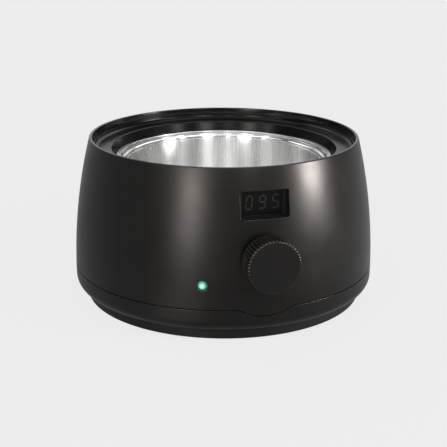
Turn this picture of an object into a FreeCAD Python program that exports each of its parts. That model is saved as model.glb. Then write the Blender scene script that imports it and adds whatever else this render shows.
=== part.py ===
import FreeCAD, Part
import math
import os

# A round, free-standing heater for melting chain wax. It stands on the table at z = 0,
# its body is centred on the Z axis and its controls face -Y. All sizes are millimetres.

V = FreeCAD.Vector
UP = V(0, 0, 1)
FRONT = V(0, -1, 0)
FRONT_ANGLE = 270.0
REAR_ANGLE = 90.0
# Share of a slot's width that rounds its ends without the arcs meeting
SLOT_END = 0.49
# Share of the shorter run that an arc of a wire takes
BEND_SHARE = 0.45

# Clearances and margins used all over
seat_gap = 0.1
screw_hole_gap = 0.2
thread_gap = 0.05
through = 1.0
overlap = 0.5
edge_round = 0.5

# Removable wax pot, spun from sheet
pot_inner_radius = 58.0
pot_depth = 54.8
pot_sheet = 1.0
pot_floor_corner = 4.0
pot_step_width = 0.6
pot_step_rise = 0.3
pot_flare_width = 2.3
pot_flare_rise = 1.9
pot_clearance = 0.4
pot_lip_round = 0.25
pot_step_round = 0.3
pot_shoulder_round = 0.4

# Heated well that holds the pot
well_sheet = 1.5
well_floor_corner = 3.0
well_rim_width = 2.9
well_rim_height = 3.8
well_rim_above_lip = 1.7
well_rim_round = 0.35
well_throat_width = 0.8
well_neck_drop = 2.2

# Band heater, insulation and the tray below the well
heater_gap = 0.1
heater_thickness = 1.2
heater_height = 26.0
heater_above_floor = 9.5
heater_clamp_angle = 15.0
heater_clamp_opening = 7.0
ear_length = 5.6
ear_height = 12.0
ear_thickness = 1.0
clamp_head_radius = 2.2
clamp_nut_height = 2.2
clamp_screw_end = 1.4
sleeve_gap = 0.4
sleeve_thickness = 4.2
sleeve_above_floor = 3.5
sleeve_below_rim = 7.7
sleeve_slot_gap = 5.0
sleeve_slot_rise = 2.0
disc_thickness = 4.5
disc_inset = 3.4
disc_edge_gap = 0.5
disc_hole_gap = 0.6
shield_thickness = 1.0
shield_rim_height = 3.0
shield_corner = 1.4
shield_hole_gap = 0.4
bay_height = 14.5
shield_post_inset = 7.5
shield_post_radius = 3.8
shield_screw_radius = 1.4
shield_screw_length = 8.0
shield_head_radius = 2.7
shield_post_angles = (90.0, 210.0, 330.0)

# Thermal cut-out and temperature sensor under the well
cutout_radius = 8.0
cutout_height = 9.6
cutout_ear_pitch = 24.0
cutout_ear_thickness = 0.8
cutout_tab_pitch = 9.0
cutout_tab_length = 4.5
cutout_x = -21.0
cutout_y = 4.0
sensor_radius = 1.6
sensor_round = 0.7
sensor_length = 18.0
sensor_x = 19.0
sensor_y = -4.0
sensor_lead_reach = 3.4
sensor_clip_reach = 3.2
sensor_pocket_width = 9.0
clip_thickness = 0.5
clip_width = 4.6
clip_rise = 2.0
cutout_tab_width = 4.8
cutout_tab_thickness = 0.8

# Body form
wall = 2.4
service_space = 20.8
side_arc_radius = 313.0
corner_radius = 7.0
corner_rise = 5.8
belt_height = 3.5
seam_above_belt = 3.0
seam_gap = 0.4
rim_width = 1.65
rim_round = 0.45
rim_seat_margin = 0.3
rim_seat_run = 0.8
seam_lip_height = 3.6
seam_lip_thickness = 1.3
seam_lip_gap = 0.2
seam_lip_root = 1.6
seam_lip_round = 0.4

# Base tray and its rubber foot
foot_drop = 1.5
foot_width = 6.0
foot_depth = 1.5
foot_gap = 0.15
foot_inside_posts = 5.0
floor_thickness = 3.0
floor_corner = 0.8
base_round = 0.6
base_step = 6.9
base_ring_height = 7.2
base_rim_width = 3.4
spigot_height = 3.8
spigot_width = 2.2
spigot_gap = 0.3
vent_count = 18
vent_width = 2.6
vent_length = 13.0
vent_start = 16.0

# Case posts and screws
post_count = 4
post_radius = 4.5
post_from_spigot = 3.5
post_joint_height = 15.5
post_height = 26.0
post_rib = 2.2
post_rib_start = 2.5
case_screw_radius = 1.6
case_head_radius = 3.2
case_head_height = 2.4
case_head_sink = 1.4
case_screw_bite = 14.0

# Top ring with the lid ledge
lip_reveal = 4.4
upstand_height = 2.3
upstand_thickness = 0.8
upstand_round = 0.25
upstand_draft = 0.6
upstand_gap = 0.3
upstand_fillet = 2.4
skirt_drop = 3.3
ring_boss_drop = 6.7
ledge_above_rim = 5.0
ledge_thickness = 2.0
ledge_round = 0.8
collar_width = 2.65
collar_gap = 0.3
collar_wall = 1.8
skirt_thickness = 1.5
collar_root_round = 0.8
lug_height = 4.0
lug_width = 9.0
ring_screw_inset = 4.65
ring_boss_radius = 3.2
ring_screw_radius = 1.4
ring_head_radius = 2.7
ring_head_height = 1.9
ring_screw_grip = 3.8

# Control knob and the potentiometer it turns
knob_radius = 15.0
knob_depth = 12.2
knob_gap = 0.45
knob_flutes = 48
knob_flute_depth = 0.45
knob_chamfer = 0.4
knob_skin = 2.3
knob_face = 2.4
knob_hub_radius = 5.6
knob_hub_gap = 0.6
knob_round = 0.3
knob_inner_round = 0.8
knob_flute_width = 0.72
knob_travel = 150.0
tongue_margin = 16.5
tongue_drop = 4.0
tongue_blend = 3.0
shaft_radius = 3.0
shaft_fit = 0.05
hub_fit = 0.03
shaft_end_gap = 0.4
pad_depth = 3.1
pad_half_width = 13.0
spot_radius = 8.0
spot_depth = 1.3
bushing_radius = 3.75
bushing_hole_gap = 0.15
bushing_proud = 0.6
washer_thickness = 0.6
washer_radius = 6.2
nut_thickness = 2.0
nut_across_flats = 10.0
dial_width = 17.0
dial_height = 19.0
dial_depth = 9.6
dial_wall = 1.6
dial_corner = 2.0
rotor_radius = 6.2
rotor_thickness = 2.4
rotor_play = 0.35
rotor_side_gap = 0.6
stop_lug_half = 12.0
stop_margin = 0.6
tag_width = 1.2
tag_thickness = 0.6
tag_length = 6.0
tag_pitch = 5.0
tag_depth = 6.0
pivot_radius = 2.0
stop_inner = 3.2

# Three-digit display
display_below_ledge = 13.15
window_width = 27.0
window_height = 14.7
window_corner = 1.2
module_corner = 0.3
display_recess = 6.3
module_width = 22.5
module_height = 14.0
module_depth = 6.2
module_gap = 0.15
frame_wall = 1.2
frame_gap = 0.2
mask_thickness = 1.0
digit_height = 7.9
digit_width = 4.1
digit_pitch = 7.4
digit_lean = 0.10
segment_width = 0.85
segment_gap = 0.22
segment_raise = 0.2
point_offset = 2.85
display_board_width = 43.0
display_board_height = 15.6
display_board_corner = 1.0
header_height = 4.0
header_inset = 0.6
header_depth = 2.2
ribbon_x = -5.0
ribbon_setback = 0.9
ribbon_width = 9.0
ribbon_pitch = 1.0
ribbon_strand_radius = 0.53
board_thickness = 1.6
display_post_radius = 2.6
display_post_offset = 18.6
small_screw_radius = 1.0
small_head_radius = 1.9
small_head_height = 1.4
driver_share = 0.6
small_screw_length = 6.0
board_screw_length = 5.0

# Indicator lamp
led_angle = -22.5
led_height = 34.7
led_radius = 2.5
led_length = 8.6
led_flange = 0.45
led_flange_height = 1.0
led_proud = 1.1
led_hole_gap = 0.45
led_holder_wall = 1.2
led_holder_back = 1.6
led_shoulder_gap = 0.45
led_lead_radius = 0.3
led_lead_pitch = 2.54
led_lead_length = 4.0

# Values 0 to 6 name a digit's lit bars, from the top bar clockwise, the middle bar last
shown_bars = ((0, 1, 2, 3, 4, 5), (0, 1, 2, 3, 5, 6), (0, 2, 3, 5, 6))

# Two-pin mains inlet at the rear
inlet_height = 38.0
inlet_flange_width = 25.0
inlet_flange_height = 16.5
inlet_flange_depth = 1.6
inlet_recess = 3.3
inlet_pad_thickness = 3.5
inlet_pad_margin = 2.6
inlet_body_width = 21.0
inlet_body_height = 12.6
inlet_body_depth = 15.2
inlet_socket_depth = 11.8
inlet_socket_half = 8.2
inlet_socket_radius = 4.3
inlet_fit = 0.2
inlet_pin_radius = 1.2
inlet_pin_pitch = 8.6
inlet_pin_length = 9.0
inlet_barb = 0.9
inlet_barb_length = 3.0
inlet_barb_width = 8.0
inlet_corner = 1.8
inlet_body_corner = 0.8
inlet_pin_round = 0.7
inlet_tail = 2.6

# Control board in the base
board_standoff = 4.5
board_half_length = 47.8
board_inner_inset = 11.0
board_edge_gap = 1.5
standoff_radius = 3.0
standoff_edge = 0.6
fixing_inset = 5.3
inner_fixing_inset = 5.7
relay_inset = 6.4
relay_along = -23.9
relay_width = 19.0
relay_depth = 10.0
relay_height = 15.2
transformer_inset = 7.5
transformer_along = 26.5
transformer_width = 15.0
transformer_depth = 12.6
transformer_height = 13.4
transformer_foot = 2.0
transformer_core_depth = 5.6
transformer_winding_width = 8.2
large_can_inset = 5.7
large_can_along = 11.1
large_can_radius = 4.0
large_can_height = 12.0
small_can_inset = 21.5
small_can_along = 15.3
small_can_radius = 2.6
small_can_height = 7.4
fuse_inset = 20.0
fuse_along = -17.2
fuse_radius = 2.5
fuse_length = 20.0
fuse_lift = 1.0
fuse_clip_length = 3.9
fuse_clip_inset = 0.6
terminal_inset = 14.0
terminal_along = 40.5
terminal_depth = 15.6
terminal_width = 7.0
terminal_height = 8.0
terminal_ways = 3
terminal_well_radius = 1.3
terminal_well_depth = 1.5
board_header_height = 5.0
board_header_depth = 3.0
header_pitch = 2.54
lamp_header_pitch = 2.2
dial_header_x = 0.4
dial_header_inset = 2.4
lamp_header_x = -7.6
sensor_header_inset = 24.0
sensor_header_depth = 4.0
sensor_header_from_end = 18.6

# Wires
wire_radius = 0.9
thin_wire_radius = 0.5
lamp_wire_radius = 0.45
lead_radius = 0.6
sensor_cable_radius = 0.8
lead_lane_inset = 8.0
lead_lane_pitch = 2.7
lead_lane_turn = 6.0
lead_first_angle = 104.0
lead_last_angle = 222.0
lead_steps = 7
lead_drop_z = 16.5
lead_tail = 5.0
heater_lead_angle = 172.0

# Heights above the table, from the bottom up
base_bottom = foot_drop
floor_top = base_bottom + floor_thickness
base_ring_top = base_bottom + base_ring_height
corner_z = base_ring_top + corner_rise
belly_z = corner_z + belt_height
seam_z = belly_z + seam_above_belt
shield_z = floor_top + bay_height
disc_z = shield_z + shield_thickness
well_z = disc_z + disc_thickness
pot_z = well_z + well_sheet
pot_floor_z = pot_z + pot_sheet
pot_shoulder_z = pot_floor_z + pot_depth
pot_lip_z = pot_shoulder_z + pot_step_rise + pot_flare_rise
well_rim_z = pot_lip_z + well_rim_above_lip
well_seat_z = well_rim_z - well_rim_height
ledge_z = well_rim_z + ledge_above_rim
upstand_z = ledge_z + upstand_height
body_z = upstand_z + lip_reveal
skirt_z = ledge_z - skirt_drop
rim_seat_z = skirt_z - rim_seat_margin - rim_seat_run
lug_z = ledge_z - ring_boss_drop
knob_z = seam_z - tongue_drop + knob_radius + tongue_margin
display_z = ledge_z - display_below_ledge
spigot_z = base_ring_top + spigot_height
post_joint_z = floor_top + post_joint_height
board_z = floor_top + board_standoff
board_top = board_z + board_thickness
header_z = board_top + board_header_height
case_seat_z = base_bottom + case_head_sink + case_head_height

# Radii, from the pot outwards
pot_outer_radius = pot_inner_radius + pot_sheet
pot_lip_radius = pot_inner_radius + pot_step_width + pot_flare_width
well_inner_radius = pot_outer_radius + pot_clearance
well_outer_radius = well_inner_radius + well_sheet
well_rim_inner = pot_lip_radius + pot_clearance
well_rim_outer = well_rim_inner + well_rim_width
heater_inner = well_outer_radius + heater_gap
heater_outer = heater_inner + heater_thickness
sleeve_inner = heater_outer + sleeve_gap
sleeve_outer = sleeve_inner + sleeve_thickness
disc_radius = well_outer_radius - disc_inset
body_radius = sleeve_outer + service_space + wall
base_radius = body_radius - base_step
spigot_outer = base_radius - base_rim_width
spigot_inner = spigot_outer - spigot_width
post_pitch = spigot_inner - post_from_spigot
foot_outer = post_pitch - foot_inside_posts
foot_inner = foot_outer - foot_width
board_outer = spigot_inner - board_edge_gap
board_inner = disc_radius - board_inner_inset
relay_radius = board_outer - relay_inset
transformer_radius = board_outer - transformer_inset
fuse_spot_radius = board_outer - fuse_inset
terminal_radius = board_outer - terminal_inset
dial_header_y = board_outer - dial_header_inset
sensor_header_radius = board_outer - sensor_header_inset
lead_lane_radius = post_pitch - lead_lane_inset


def side_radius(z, inset=0.0):
    """Radius of the body's side at height z, or of a surface that far inside it."""
    arc = side_arc_radius - inset
    height = max(z - belly_z, 0.0)
    return body_radius - side_arc_radius + math.sqrt(arc ** 2 - height ** 2)


def turn_along(length, radius):
    """Angle in degrees that an arc of that length takes at a radius."""
    return math.degrees(length / radius)


board_half_angle = turn_along(board_half_length, board_outer)
relay_angle = FRONT_ANGLE + turn_along(relay_along, board_outer)
transformer_angle = FRONT_ANGLE + turn_along(transformer_along, board_outer)
large_can_angle = FRONT_ANGLE + turn_along(large_can_along, board_outer)
small_can_angle = FRONT_ANGLE + turn_along(small_can_along, board_outer)
fuse_angle = FRONT_ANGLE + turn_along(fuse_along, board_outer)
terminal_angle = turn_along(terminal_along, board_outer)
sensor_header_angle = FRONT_ANGLE + board_half_angle - turn_along(sensor_header_from_end, board_outer)
rim_inner = side_radius(body_z) - rim_width
upstand_outer = rim_inner - upstand_gap
upstand_inner = upstand_outer - upstand_thickness
ledge_outer = upstand_inner - upstand_draft
ledge_inner = well_rim_outer + collar_width
collar_bottom = well_rim_outer + collar_gap
ring_screw_pitch = upstand_outer - ring_screw_inset
knob_back = side_radius(knob_z - knob_radius) + knob_gap
pad_plane = side_radius(knob_z, wall) - pad_depth
spot_plane = side_radius(knob_z) - spot_depth
bushing_end = spot_plane + washer_thickness + nut_thickness + bushing_proud
led_tip = side_radius(led_height) + led_proud
tongue_radius = knob_radius + tongue_margin
dial_rear = pad_plane - dial_depth
cavity_front = pad_plane - dial_wall
cavity_rear = dial_rear + dial_wall
rotor_rear = cavity_front - rotor_play - rotor_thickness
tag_plane = pad_plane - tag_depth
tag_end_z = knob_z - dial_height / 2 - tag_length
module_front = side_radius(display_z) - display_recess
board_front = module_front - module_depth
ribbon_y = board_front - board_thickness - ribbon_setback
inlet_plane = side_radius(inlet_height) - inlet_recess
inlet_inside = inlet_plane - inlet_pad_thickness


def lie_flat(a, b):
    """Place of an outline's point on the table plane."""
    return V(a, b, 0)


def stand_up(a, b):
    """Place of an outline's point on the upright plane through the X and Z axes."""
    return V(a, 0, b)


def corner_arc(before, corner, after, radius):
    """Start, middle and end of the arc that rounds one corner of an outline."""
    inward = (before - corner).normalize()
    outward = (after - corner).normalize()
    half = inward.getAngle(outward) / 2
    reach = radius / math.tan(half)
    centre = corner + (inward + outward).normalize() * (radius / math.sin(half))
    middle = centre + (corner - centre).normalize() * radius
    return corner + inward * reach, middle, corner + outward * reach


def closed_wire(corners, place):
    """A closed outline. A corner is (a, b) or (a, b, radius), and ("via", a, b) bends a stretch."""
    points = [c for c in corners if c[0] != "via"]
    spots = [place(c[0], c[1]) for c in points]
    bends = {}
    for index, c in enumerate(corners):
        if c[0] == "via":
            bends[points.index(corners[index - 1])] = place(c[1], c[2])
    starts, arcs, ends = [], [], []
    for index, c in enumerate(points):
        spot = spots[index]
        if len(c) == 3 and c[2] > 0:
            after = spots[(index + 1) % len(spots)]
            start, middle, end = corner_arc(spots[index - 1], spot, after, c[2])
            arcs.append(Part.Arc(start, middle, end).toShape())
        else:
            start, end = spot, spot
            arcs.append(None)
        starts.append(start)
        ends.append(end)
    edges = []
    for index in range(len(points)):
        following = (index + 1) % len(points)
        if arcs[index]:
            edges.append(arcs[index])
        if index in bends:
            edges.append(Part.Arc(ends[index], bends[index], starts[following]).toShape())
        elif (starts[following] - ends[index]).Length > 1e-6:
            edges.append(Part.makeLine(ends[index], starts[following]))
    return Part.Wire(edges)


def revolved(corners, angle=360.0, start=0.0):
    """A solid turned about the Z axis from an outline of (radius, height) corners."""
    solid = Part.Face(closed_wire(corners, stand_up)).revolve(V(0, 0, 0), UP, angle)
    return turned(solid, start)


def upright_prism(corners, y_from, y_to):
    """A solid of the outline seen from the front, reaching from one y to another."""
    face = Part.Face(closed_wire(corners, stand_up))
    face.translate(V(0, y_from, 0))
    return face.extrude(V(0, y_to - y_from, 0))


def flat_prism(corners, z_from, z_to):
    """A solid of the outline seen from above, reaching from one height to another."""
    face = Part.Face(closed_wire(corners, lie_flat))
    face.translate(V(0, 0, z_from))
    return face.extrude(V(0, 0, z_to - z_from))


def rectangle(width, height, radius=0.0, centre=(0.0, 0.0)):
    """Corners of a rectangle about a centre."""
    a, b = width / 2, height / 2
    x, y = centre
    return [(x - a, y - b, radius), (x + a, y - b, radius), (x + a, y + b, radius), (x - a, y + b, radius)]


def block(x, y, z):
    """A box given by its (from, to) pair along each axis."""
    return Part.makeBox(x[1] - x[0], y[1] - y[0], z[1] - z[0], V(x[0], y[0], z[0]))


def rod(radius, start, end):
    """A round bar between two points."""
    return Part.makeCylinder(radius, (end - start).Length, start, end - start)


def ring(inner, outer, z_from, z_to):
    """A flat-ended ring about the Z axis."""
    return rod(outer, V(0, 0, z_from), V(0, 0, z_to)).cut(rod(inner, V(0, 0, z_from - 1), V(0, 0, z_to + 1)))


def polar(radius, angle, z=0.0):
    """The point at a radius, an angle in degrees from +X, and a height."""
    return V(radius * math.cos(math.radians(angle)), radius * math.sin(math.radians(angle)), z)


def column(radius, spot, z_from, z_to):
    """An upright round bar over a point of the table plane."""
    return rod(radius, spot + UP * z_from, spot + UP * z_to)


def turned(shape, angle):
    """A copy turned about the Z axis."""
    copy = shape.copy()
    copy.rotate(V(0, 0, 0), UP, angle)
    return copy


def joined(shapes):
    """One solid made of overlapping ones."""
    return shapes[0].multiFuse(shapes[1:]).removeSplitter()


def top_edges(shape):
    """The edges round the top face of an upright shape."""
    top = shape.BoundBox.ZMax
    return [e for e in shape.Edges if e.BoundBox.ZMin > top - 1e-3]


def post_angles():
    """Directions of the case posts, clear of the front and the rear."""
    step = 360.0 / post_count
    return [step * (i + 0.5) for i in range(post_count)]


def post_spots():
    """Centres of the case posts, at table level."""
    return [polar(post_pitch, angle) for angle in post_angles()]


def ring_screw_spots():
    """Centres of the top ring's screws, at table level."""
    return [polar(ring_screw_pitch, angle) for angle in post_angles()]


def side_form(inset, z_from, z_to):
    """Everything inside the surface that lies that far within the body's side."""
    middle_z = (max(z_from, belly_z) + z_to) / 2
    outline = [(0, z_from), (side_radius(z_from, inset), z_from)]
    if z_from < belly_z:
        outline.append((side_radius(belly_z, inset), belly_z))
    outline.append(("via", side_radius(middle_z, inset), middle_z))
    outline.append((side_radius(z_to, inset), z_to))
    outline.append((0, z_to))
    return revolved(outline)


def body_skin():
    """The whole outer wall, from the flange over the base ring up to the rim and the top ring's bore."""
    bend = corner_radius - wall
    centre = body_radius - corner_radius
    inner_z = base_ring_top + wall
    outer_foot = centre + math.sqrt(corner_radius ** 2 - corner_rise ** 2)
    inner_foot = centre + math.sqrt(bend ** 2 - (corner_z - inner_z) ** 2)
    diagonal = math.radians(-30)
    middle_z = (belly_z + body_z) / 2
    inner_middle_z = (belly_z + rim_seat_z) / 2
    skin = revolved([
        (spigot_outer + spigot_gap, base_ring_top),
        (outer_foot, base_ring_top),
        ("via", centre + corner_radius * math.cos(diagonal), corner_z + corner_radius * math.sin(diagonal)),
        (body_radius, corner_z),
        (body_radius, belly_z),
        ("via", side_radius(middle_z), middle_z),
        (side_radius(body_z), body_z),
        (rim_inner, body_z),
        (rim_inner, rim_seat_z + rim_seat_run),
        (side_radius(rim_seat_z, wall), rim_seat_z),
        ("via", side_radius(inner_middle_z, wall), inner_middle_z),
        (body_radius - wall, belly_z),
        (body_radius - wall, corner_z),
        ("via", centre + bend * math.cos(diagonal / 2), corner_z + bend * math.sin(diagonal / 2)),
        (inner_foot, inner_z),
        (spigot_outer + spigot_gap, inner_z),
    ])
    return skin.makeFillet(rim_round, top_edges(skin))


def above_seam(gap):
    """The space of the upper shell: above the seam, and within the tongue under the knob."""
    level = seam_z - gap
    radius = tongue_radius + gap
    blend = tongue_blend - gap
    blend_z = level - blend
    blend_x = math.sqrt((radius + blend) ** 2 - (knob_z - blend_z) ** 2)
    share = radius / (radius + blend)
    touch_x, touch_z = blend_x * share, knob_z - (knob_z - blend_z) * share
    lean = math.atan2(blend_x, knob_z - blend_z) / 2
    turn_x, turn_z = blend_x - blend * math.sin(lean), blend_z + blend * math.cos(lean)
    far = body_radius + through
    tongue = upright_prism([
        (-blend_x, level),
        ("via", -turn_x, turn_z),
        (-touch_x, touch_z),
        ("via", 0, knob_z - radius),
        (touch_x, touch_z),
        ("via", turn_x, turn_z),
        (blend_x, level),
        (blend_x, knob_z),
        (-blend_x, knob_z),
    ], -far, -body_radius / 2)
    return joined([block((-far, far), (-far, far), (level, body_z + through)), tongue])


def make_foot_ring():
    """Rubber ring that the heater stands on, set in a groove of the base."""
    return ring(foot_inner, foot_outer, 0, foot_drop + foot_depth)


def make_base_tray():
    """Bottom tray: floor, base ring, spigot, case posts, standoffs and air vents."""
    parts = [revolved([
        (0, base_bottom),
        (foot_inner - foot_gap, base_bottom),
        (foot_inner - foot_gap, base_bottom + foot_depth),
        (foot_outer + foot_gap, base_bottom + foot_depth),
        (foot_outer + foot_gap, base_bottom),
        (base_radius, base_bottom, base_round),
        (base_radius, base_ring_top),
        (spigot_outer, base_ring_top),
        (spigot_outer, spigot_z, edge_round),
        (spigot_inner, spigot_z, edge_round),
        (spigot_inner, floor_top, floor_corner),
        (0, floor_top),
    ])]
    holes = []
    screw_hole = case_screw_radius + screw_hole_gap
    for spot in post_spots():
        parts.append(column(post_radius, spot, floor_top - overlap, post_joint_z))
        holes.append(column(screw_hole, spot, 0, post_joint_z + through))
        holes.append(column(case_head_radius + 2 * screw_hole_gap, spot, 0, case_seat_z))
    for spot in shield_posts():
        parts.append(column(shield_post_radius, spot, floor_top - overlap, shield_z))
        hole_end = disc_z - shield_screw_length - through
        holes.append(column(shield_screw_radius + thread_gap, spot, hole_end, shield_z + through))
    for spot in board_fixings():
        parts.append(column(standoff_radius, spot, floor_top - overlap, board_z))
        hole_end = board_top - board_screw_length - overlap
        holes.append(column(small_screw_radius + thread_gap, spot, hole_end, board_z + through))
    vent_middle = (vent_start + vent_length / 2, 0.0)
    for i in range(vent_count):
        outline = rectangle(vent_length, vent_width, vent_width * SLOT_END, vent_middle)
        slot = flat_prism(outline, base_bottom - through, floor_top + through)
        holes.append(turned(slot, 360.0 / vent_count * i))
    return joined(parts).cut(holes)


def make_lower_shell():
    """Lower band of the body, with the lip that guides the upper shell."""
    band = body_skin().cut(above_seam(seam_gap))
    reach = body_radius - wall
    lip_inner = reach - seam_lip_gap - seam_lip_thickness
    root_z = seam_z - seam_gap - tongue_drop - seam_lip_root
    lip = revolved([
        (reach - seam_lip_gap, root_z),
        (reach - seam_lip_gap, seam_z + seam_lip_height, seam_lip_round),
        (lip_inner, seam_z + seam_lip_height, seam_lip_round),
        (lip_inner, corner_z - through),
        (reach + overlap, corner_z - through),
        (reach + overlap, root_z),
    ])
    return joined([band, lip])


def shell_posts():
    """Posts inside the upper shell that the case screws hold."""
    parts = []
    top = post_joint_z + post_height
    rib_z = seam_z + seam_lip_height + post_rib_start
    rib_end = side_radius(top, wall / 2)
    rib = block((post_pitch, rib_end), (-post_rib / 2, post_rib / 2), (rib_z, top - overlap))
    for angle, spot in zip(post_angles(), post_spots()):
        parts.append(column(post_radius, spot, post_joint_z, top))
        parts.append(turned(rib, angle))
    return parts


def ring_lugs():
    """Lugs inside the upper shell that the top ring rests on."""
    half = lug_width / 2
    shape = block((ring_screw_pitch - half, body_radius), (-half, half), (lug_z - lug_height, lug_z))
    within = side_form(wall / 2, lug_z - lug_height - through, lug_z + through)
    return [turned(shape, angle).common(within) for angle in post_angles()]


def wall_pads():
    """Flat pads behind the knob and the inlet, and the two posts of the display."""
    inside = side_form(wall / 2, belly_z, body_z - wall)
    dial = upright_prism(
        rectangle(2 * pad_half_width, 2 * pad_half_width, 0.0, (0, knob_z)), -body_radius, -pad_plane)
    pad_width = inlet_flange_width + 2 * inlet_pad_margin
    pad_height = inlet_flange_height + 2 * inlet_pad_margin
    inlet = upright_prism(rectangle(pad_width, pad_height, 0.0, (0, inlet_height)), inlet_inside, body_radius)
    pads = [dial.common(inside), inlet.common(inside)]
    for side in (-1, 1):
        base = display_post_spot(side, -board_front)
        pads.append(rod(display_post_radius, base, base + FRONT * wall_reach(base)))
    return pads


def wall_reach(point):
    """Length from a point forward into the middle of the front wall."""
    radius = side_radius(point.z, wall / 2)
    return math.sqrt(radius ** 2 - point.x ** 2) + point.y


def window_outline(margin=0.0):
    """Outline of the display's window, grown by a margin."""
    width, height = window_width + 2 * margin, window_height + 2 * margin
    return rectangle(width, height, window_corner + margin, (0, display_z))


def make_upper_shell():
    """Main shell with its rim, posts, lugs, pads and openings."""
    parts = [body_skin().common(above_seam(0.0))] + shell_posts() + ring_lugs() + wall_pads()
    far = body_radius + 2 * through
    holes = [upright_prism(window_outline(), -far, -module_front - through)]
    axis = V(0, 0, knob_z)
    bushing_hole = bushing_radius + bushing_hole_gap
    holes.append(rod(bushing_hole, axis + FRONT * (pad_plane - through), axis + FRONT * far))
    holes.append(rod(spot_radius, axis + FRONT * spot_plane, axis + FRONT * far))
    lamp_hole = led_radius + led_hole_gap + seat_gap
    lamp = rod(lamp_hole, V(0, -body_radius / 2, led_height), V(0, -far, led_height))
    holes.append(turned(lamp, led_angle))
    holes.append(upright_prism(inlet_flange_outline(inlet_fit), inlet_plane, far))
    holes.append(upright_prism(inlet_body_outline(inlet_fit), inlet_inside - through, far))
    bore_end = post_joint_z + case_screw_bite + 2 * through
    for spot in post_spots():
        holes.append(column(case_screw_radius + thread_gap, spot, post_joint_z - through, bore_end))
    lug_hole = ring_screw_radius + screw_hole_gap
    for spot in ring_screw_spots():
        holes.append(column(lug_hole, spot, lug_z - lug_height - through, lug_z + through))
    depth = small_screw_length - board_thickness + overlap
    for side in (-1, 1):
        start = display_post_spot(side, -board_front)
        holes.append(rod(small_screw_radius + thread_gap, start - FRONT, start + FRONT * depth))
    return joined(parts).cut(holes)


def make_top_ring():
    """Ring inside the rim: low upstand, lid ledge, collar and the seat of the well."""
    seat_bottom = well_seat_z - collar_wall
    seat_inner = well_outer_radius + well_throat_width + pot_clearance
    plate_z = ledge_z - ledge_thickness
    skirt_inner = upstand_outer - skirt_thickness
    parts = [revolved([
        (upstand_outer, skirt_z),
        (upstand_outer, upstand_z, upstand_round),
        (upstand_inner, upstand_z, upstand_round),
        (ledge_outer, ledge_z, upstand_fillet),
        (ledge_inner, ledge_z, ledge_round),
        (collar_bottom + collar_gap, well_rim_z, edge_round),
        (collar_bottom, well_seat_z),
        (seat_inner, well_seat_z),
        (seat_inner, seat_bottom),
        (collar_bottom + collar_wall, seat_bottom, collar_root_round),
        (ledge_inner + collar_wall, plate_z, collar_root_round),
        (skirt_inner, plate_z),
        (skirt_inner, skirt_z),
    ])]
    holes = []
    for spot in ring_screw_spots():
        parts.append(column(ring_boss_radius, spot, lug_z, plate_z + overlap))
        hole_end = lug_z + ring_screw_grip + overlap
        holes.append(column(ring_screw_radius + thread_gap, spot, lug_z - through, hole_end))
    return joined(parts).cut(holes)


def make_heating_well():
    """Thick aluminium well with a solid rim, hung in the top ring."""
    slope = pot_flare_rise / pot_flare_width
    run = math.hypot(pot_flare_width, pot_flare_rise)
    drop = (pot_sheet + pot_clearance) * run / pot_flare_width
    cone_z = pot_lip_z - drop
    inner_top = cone_z + slope * (well_rim_inner - pot_lip_radius)
    inner_bottom = cone_z - slope * (pot_lip_radius - well_inner_radius)
    throat = well_outer_radius + well_throat_width
    return revolved([
        (0, well_z),
        (well_outer_radius, well_z, well_floor_corner + well_sheet),
        (well_outer_radius, inner_bottom - well_neck_drop),
        (throat, well_seat_z),
        (well_rim_outer, well_seat_z),
        (well_rim_outer, well_rim_z, well_rim_round),
        (well_rim_inner, well_rim_z, well_rim_round),
        (well_rim_inner, inner_top),
        (well_inner_radius, inner_bottom),
        (well_inner_radius, pot_z, well_floor_corner),
        (0, pot_z),
    ])


def make_wax_pot():
    """Spun pot with a stepped, flared lip; it lifts straight out."""
    slope = pot_flare_rise / pot_flare_width
    run = math.hypot(pot_flare_width, pot_flare_rise)
    drop = pot_sheet * run / pot_flare_width
    step_radius = pot_inner_radius + pot_step_width
    step_z = pot_shoulder_z + pot_step_rise
    shoulder_under = pot_lip_z - drop - slope * (pot_lip_radius - pot_outer_radius)
    return revolved([
        (0, pot_z),
        (pot_outer_radius, pot_z, pot_floor_corner + pot_sheet),
        (pot_outer_radius, shoulder_under),
        (pot_lip_radius, pot_lip_z - drop),
        (pot_lip_radius, pot_lip_z, pot_lip_round),
        (step_radius, step_z, pot_step_round),
        (pot_inner_radius, pot_shoulder_z, pot_shoulder_round),
        (pot_inner_radius, pot_floor_z, pot_floor_corner),
        (0, pot_floor_z),
    ])


def heater_heights():
    """Lower and upper edge of the band heater."""
    return well_z + heater_above_floor, well_z + heater_above_floor + heater_height


def make_band_heater():
    """Split band round the well, drawn tight by two ears."""
    low, high = heater_heights()
    opening = math.degrees(heater_clamp_opening / heater_inner)
    corners = [(heater_inner, low), (heater_outer, low), (heater_outer, high), (heater_inner, high)]
    parts = [revolved(corners, 360.0 - opening, heater_clamp_angle + opening / 2)]
    middle = (low + high) / 2
    ear_z = (middle - ear_height / 2, middle + ear_height / 2)
    for side in (-1, 1):
        ear_y = sorted((side * heater_clamp_opening / 2, side * clamp_half()))
        ear = block((heater_inner + heater_thickness / 2, heater_inner + ear_length), ear_y, ear_z)
        reach = side * 2 * clamp_half()
        hole = rod(ring_screw_radius + screw_hole_gap, clamp_axis(0), clamp_axis(reach))
        parts.append(turned(ear.cut(hole), heater_clamp_angle))
    return joined(parts)


def clamp_half():
    """Half the width over the heater's two ears."""
    return heater_clamp_opening / 2 + ear_thickness


def clamp_axis(y):
    """A point on the clamp screw's axis, before the clamp is turned to its place."""
    return V((heater_outer + heater_inner + ear_length) / 2, y, sum(heater_heights()) / 2)


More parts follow.
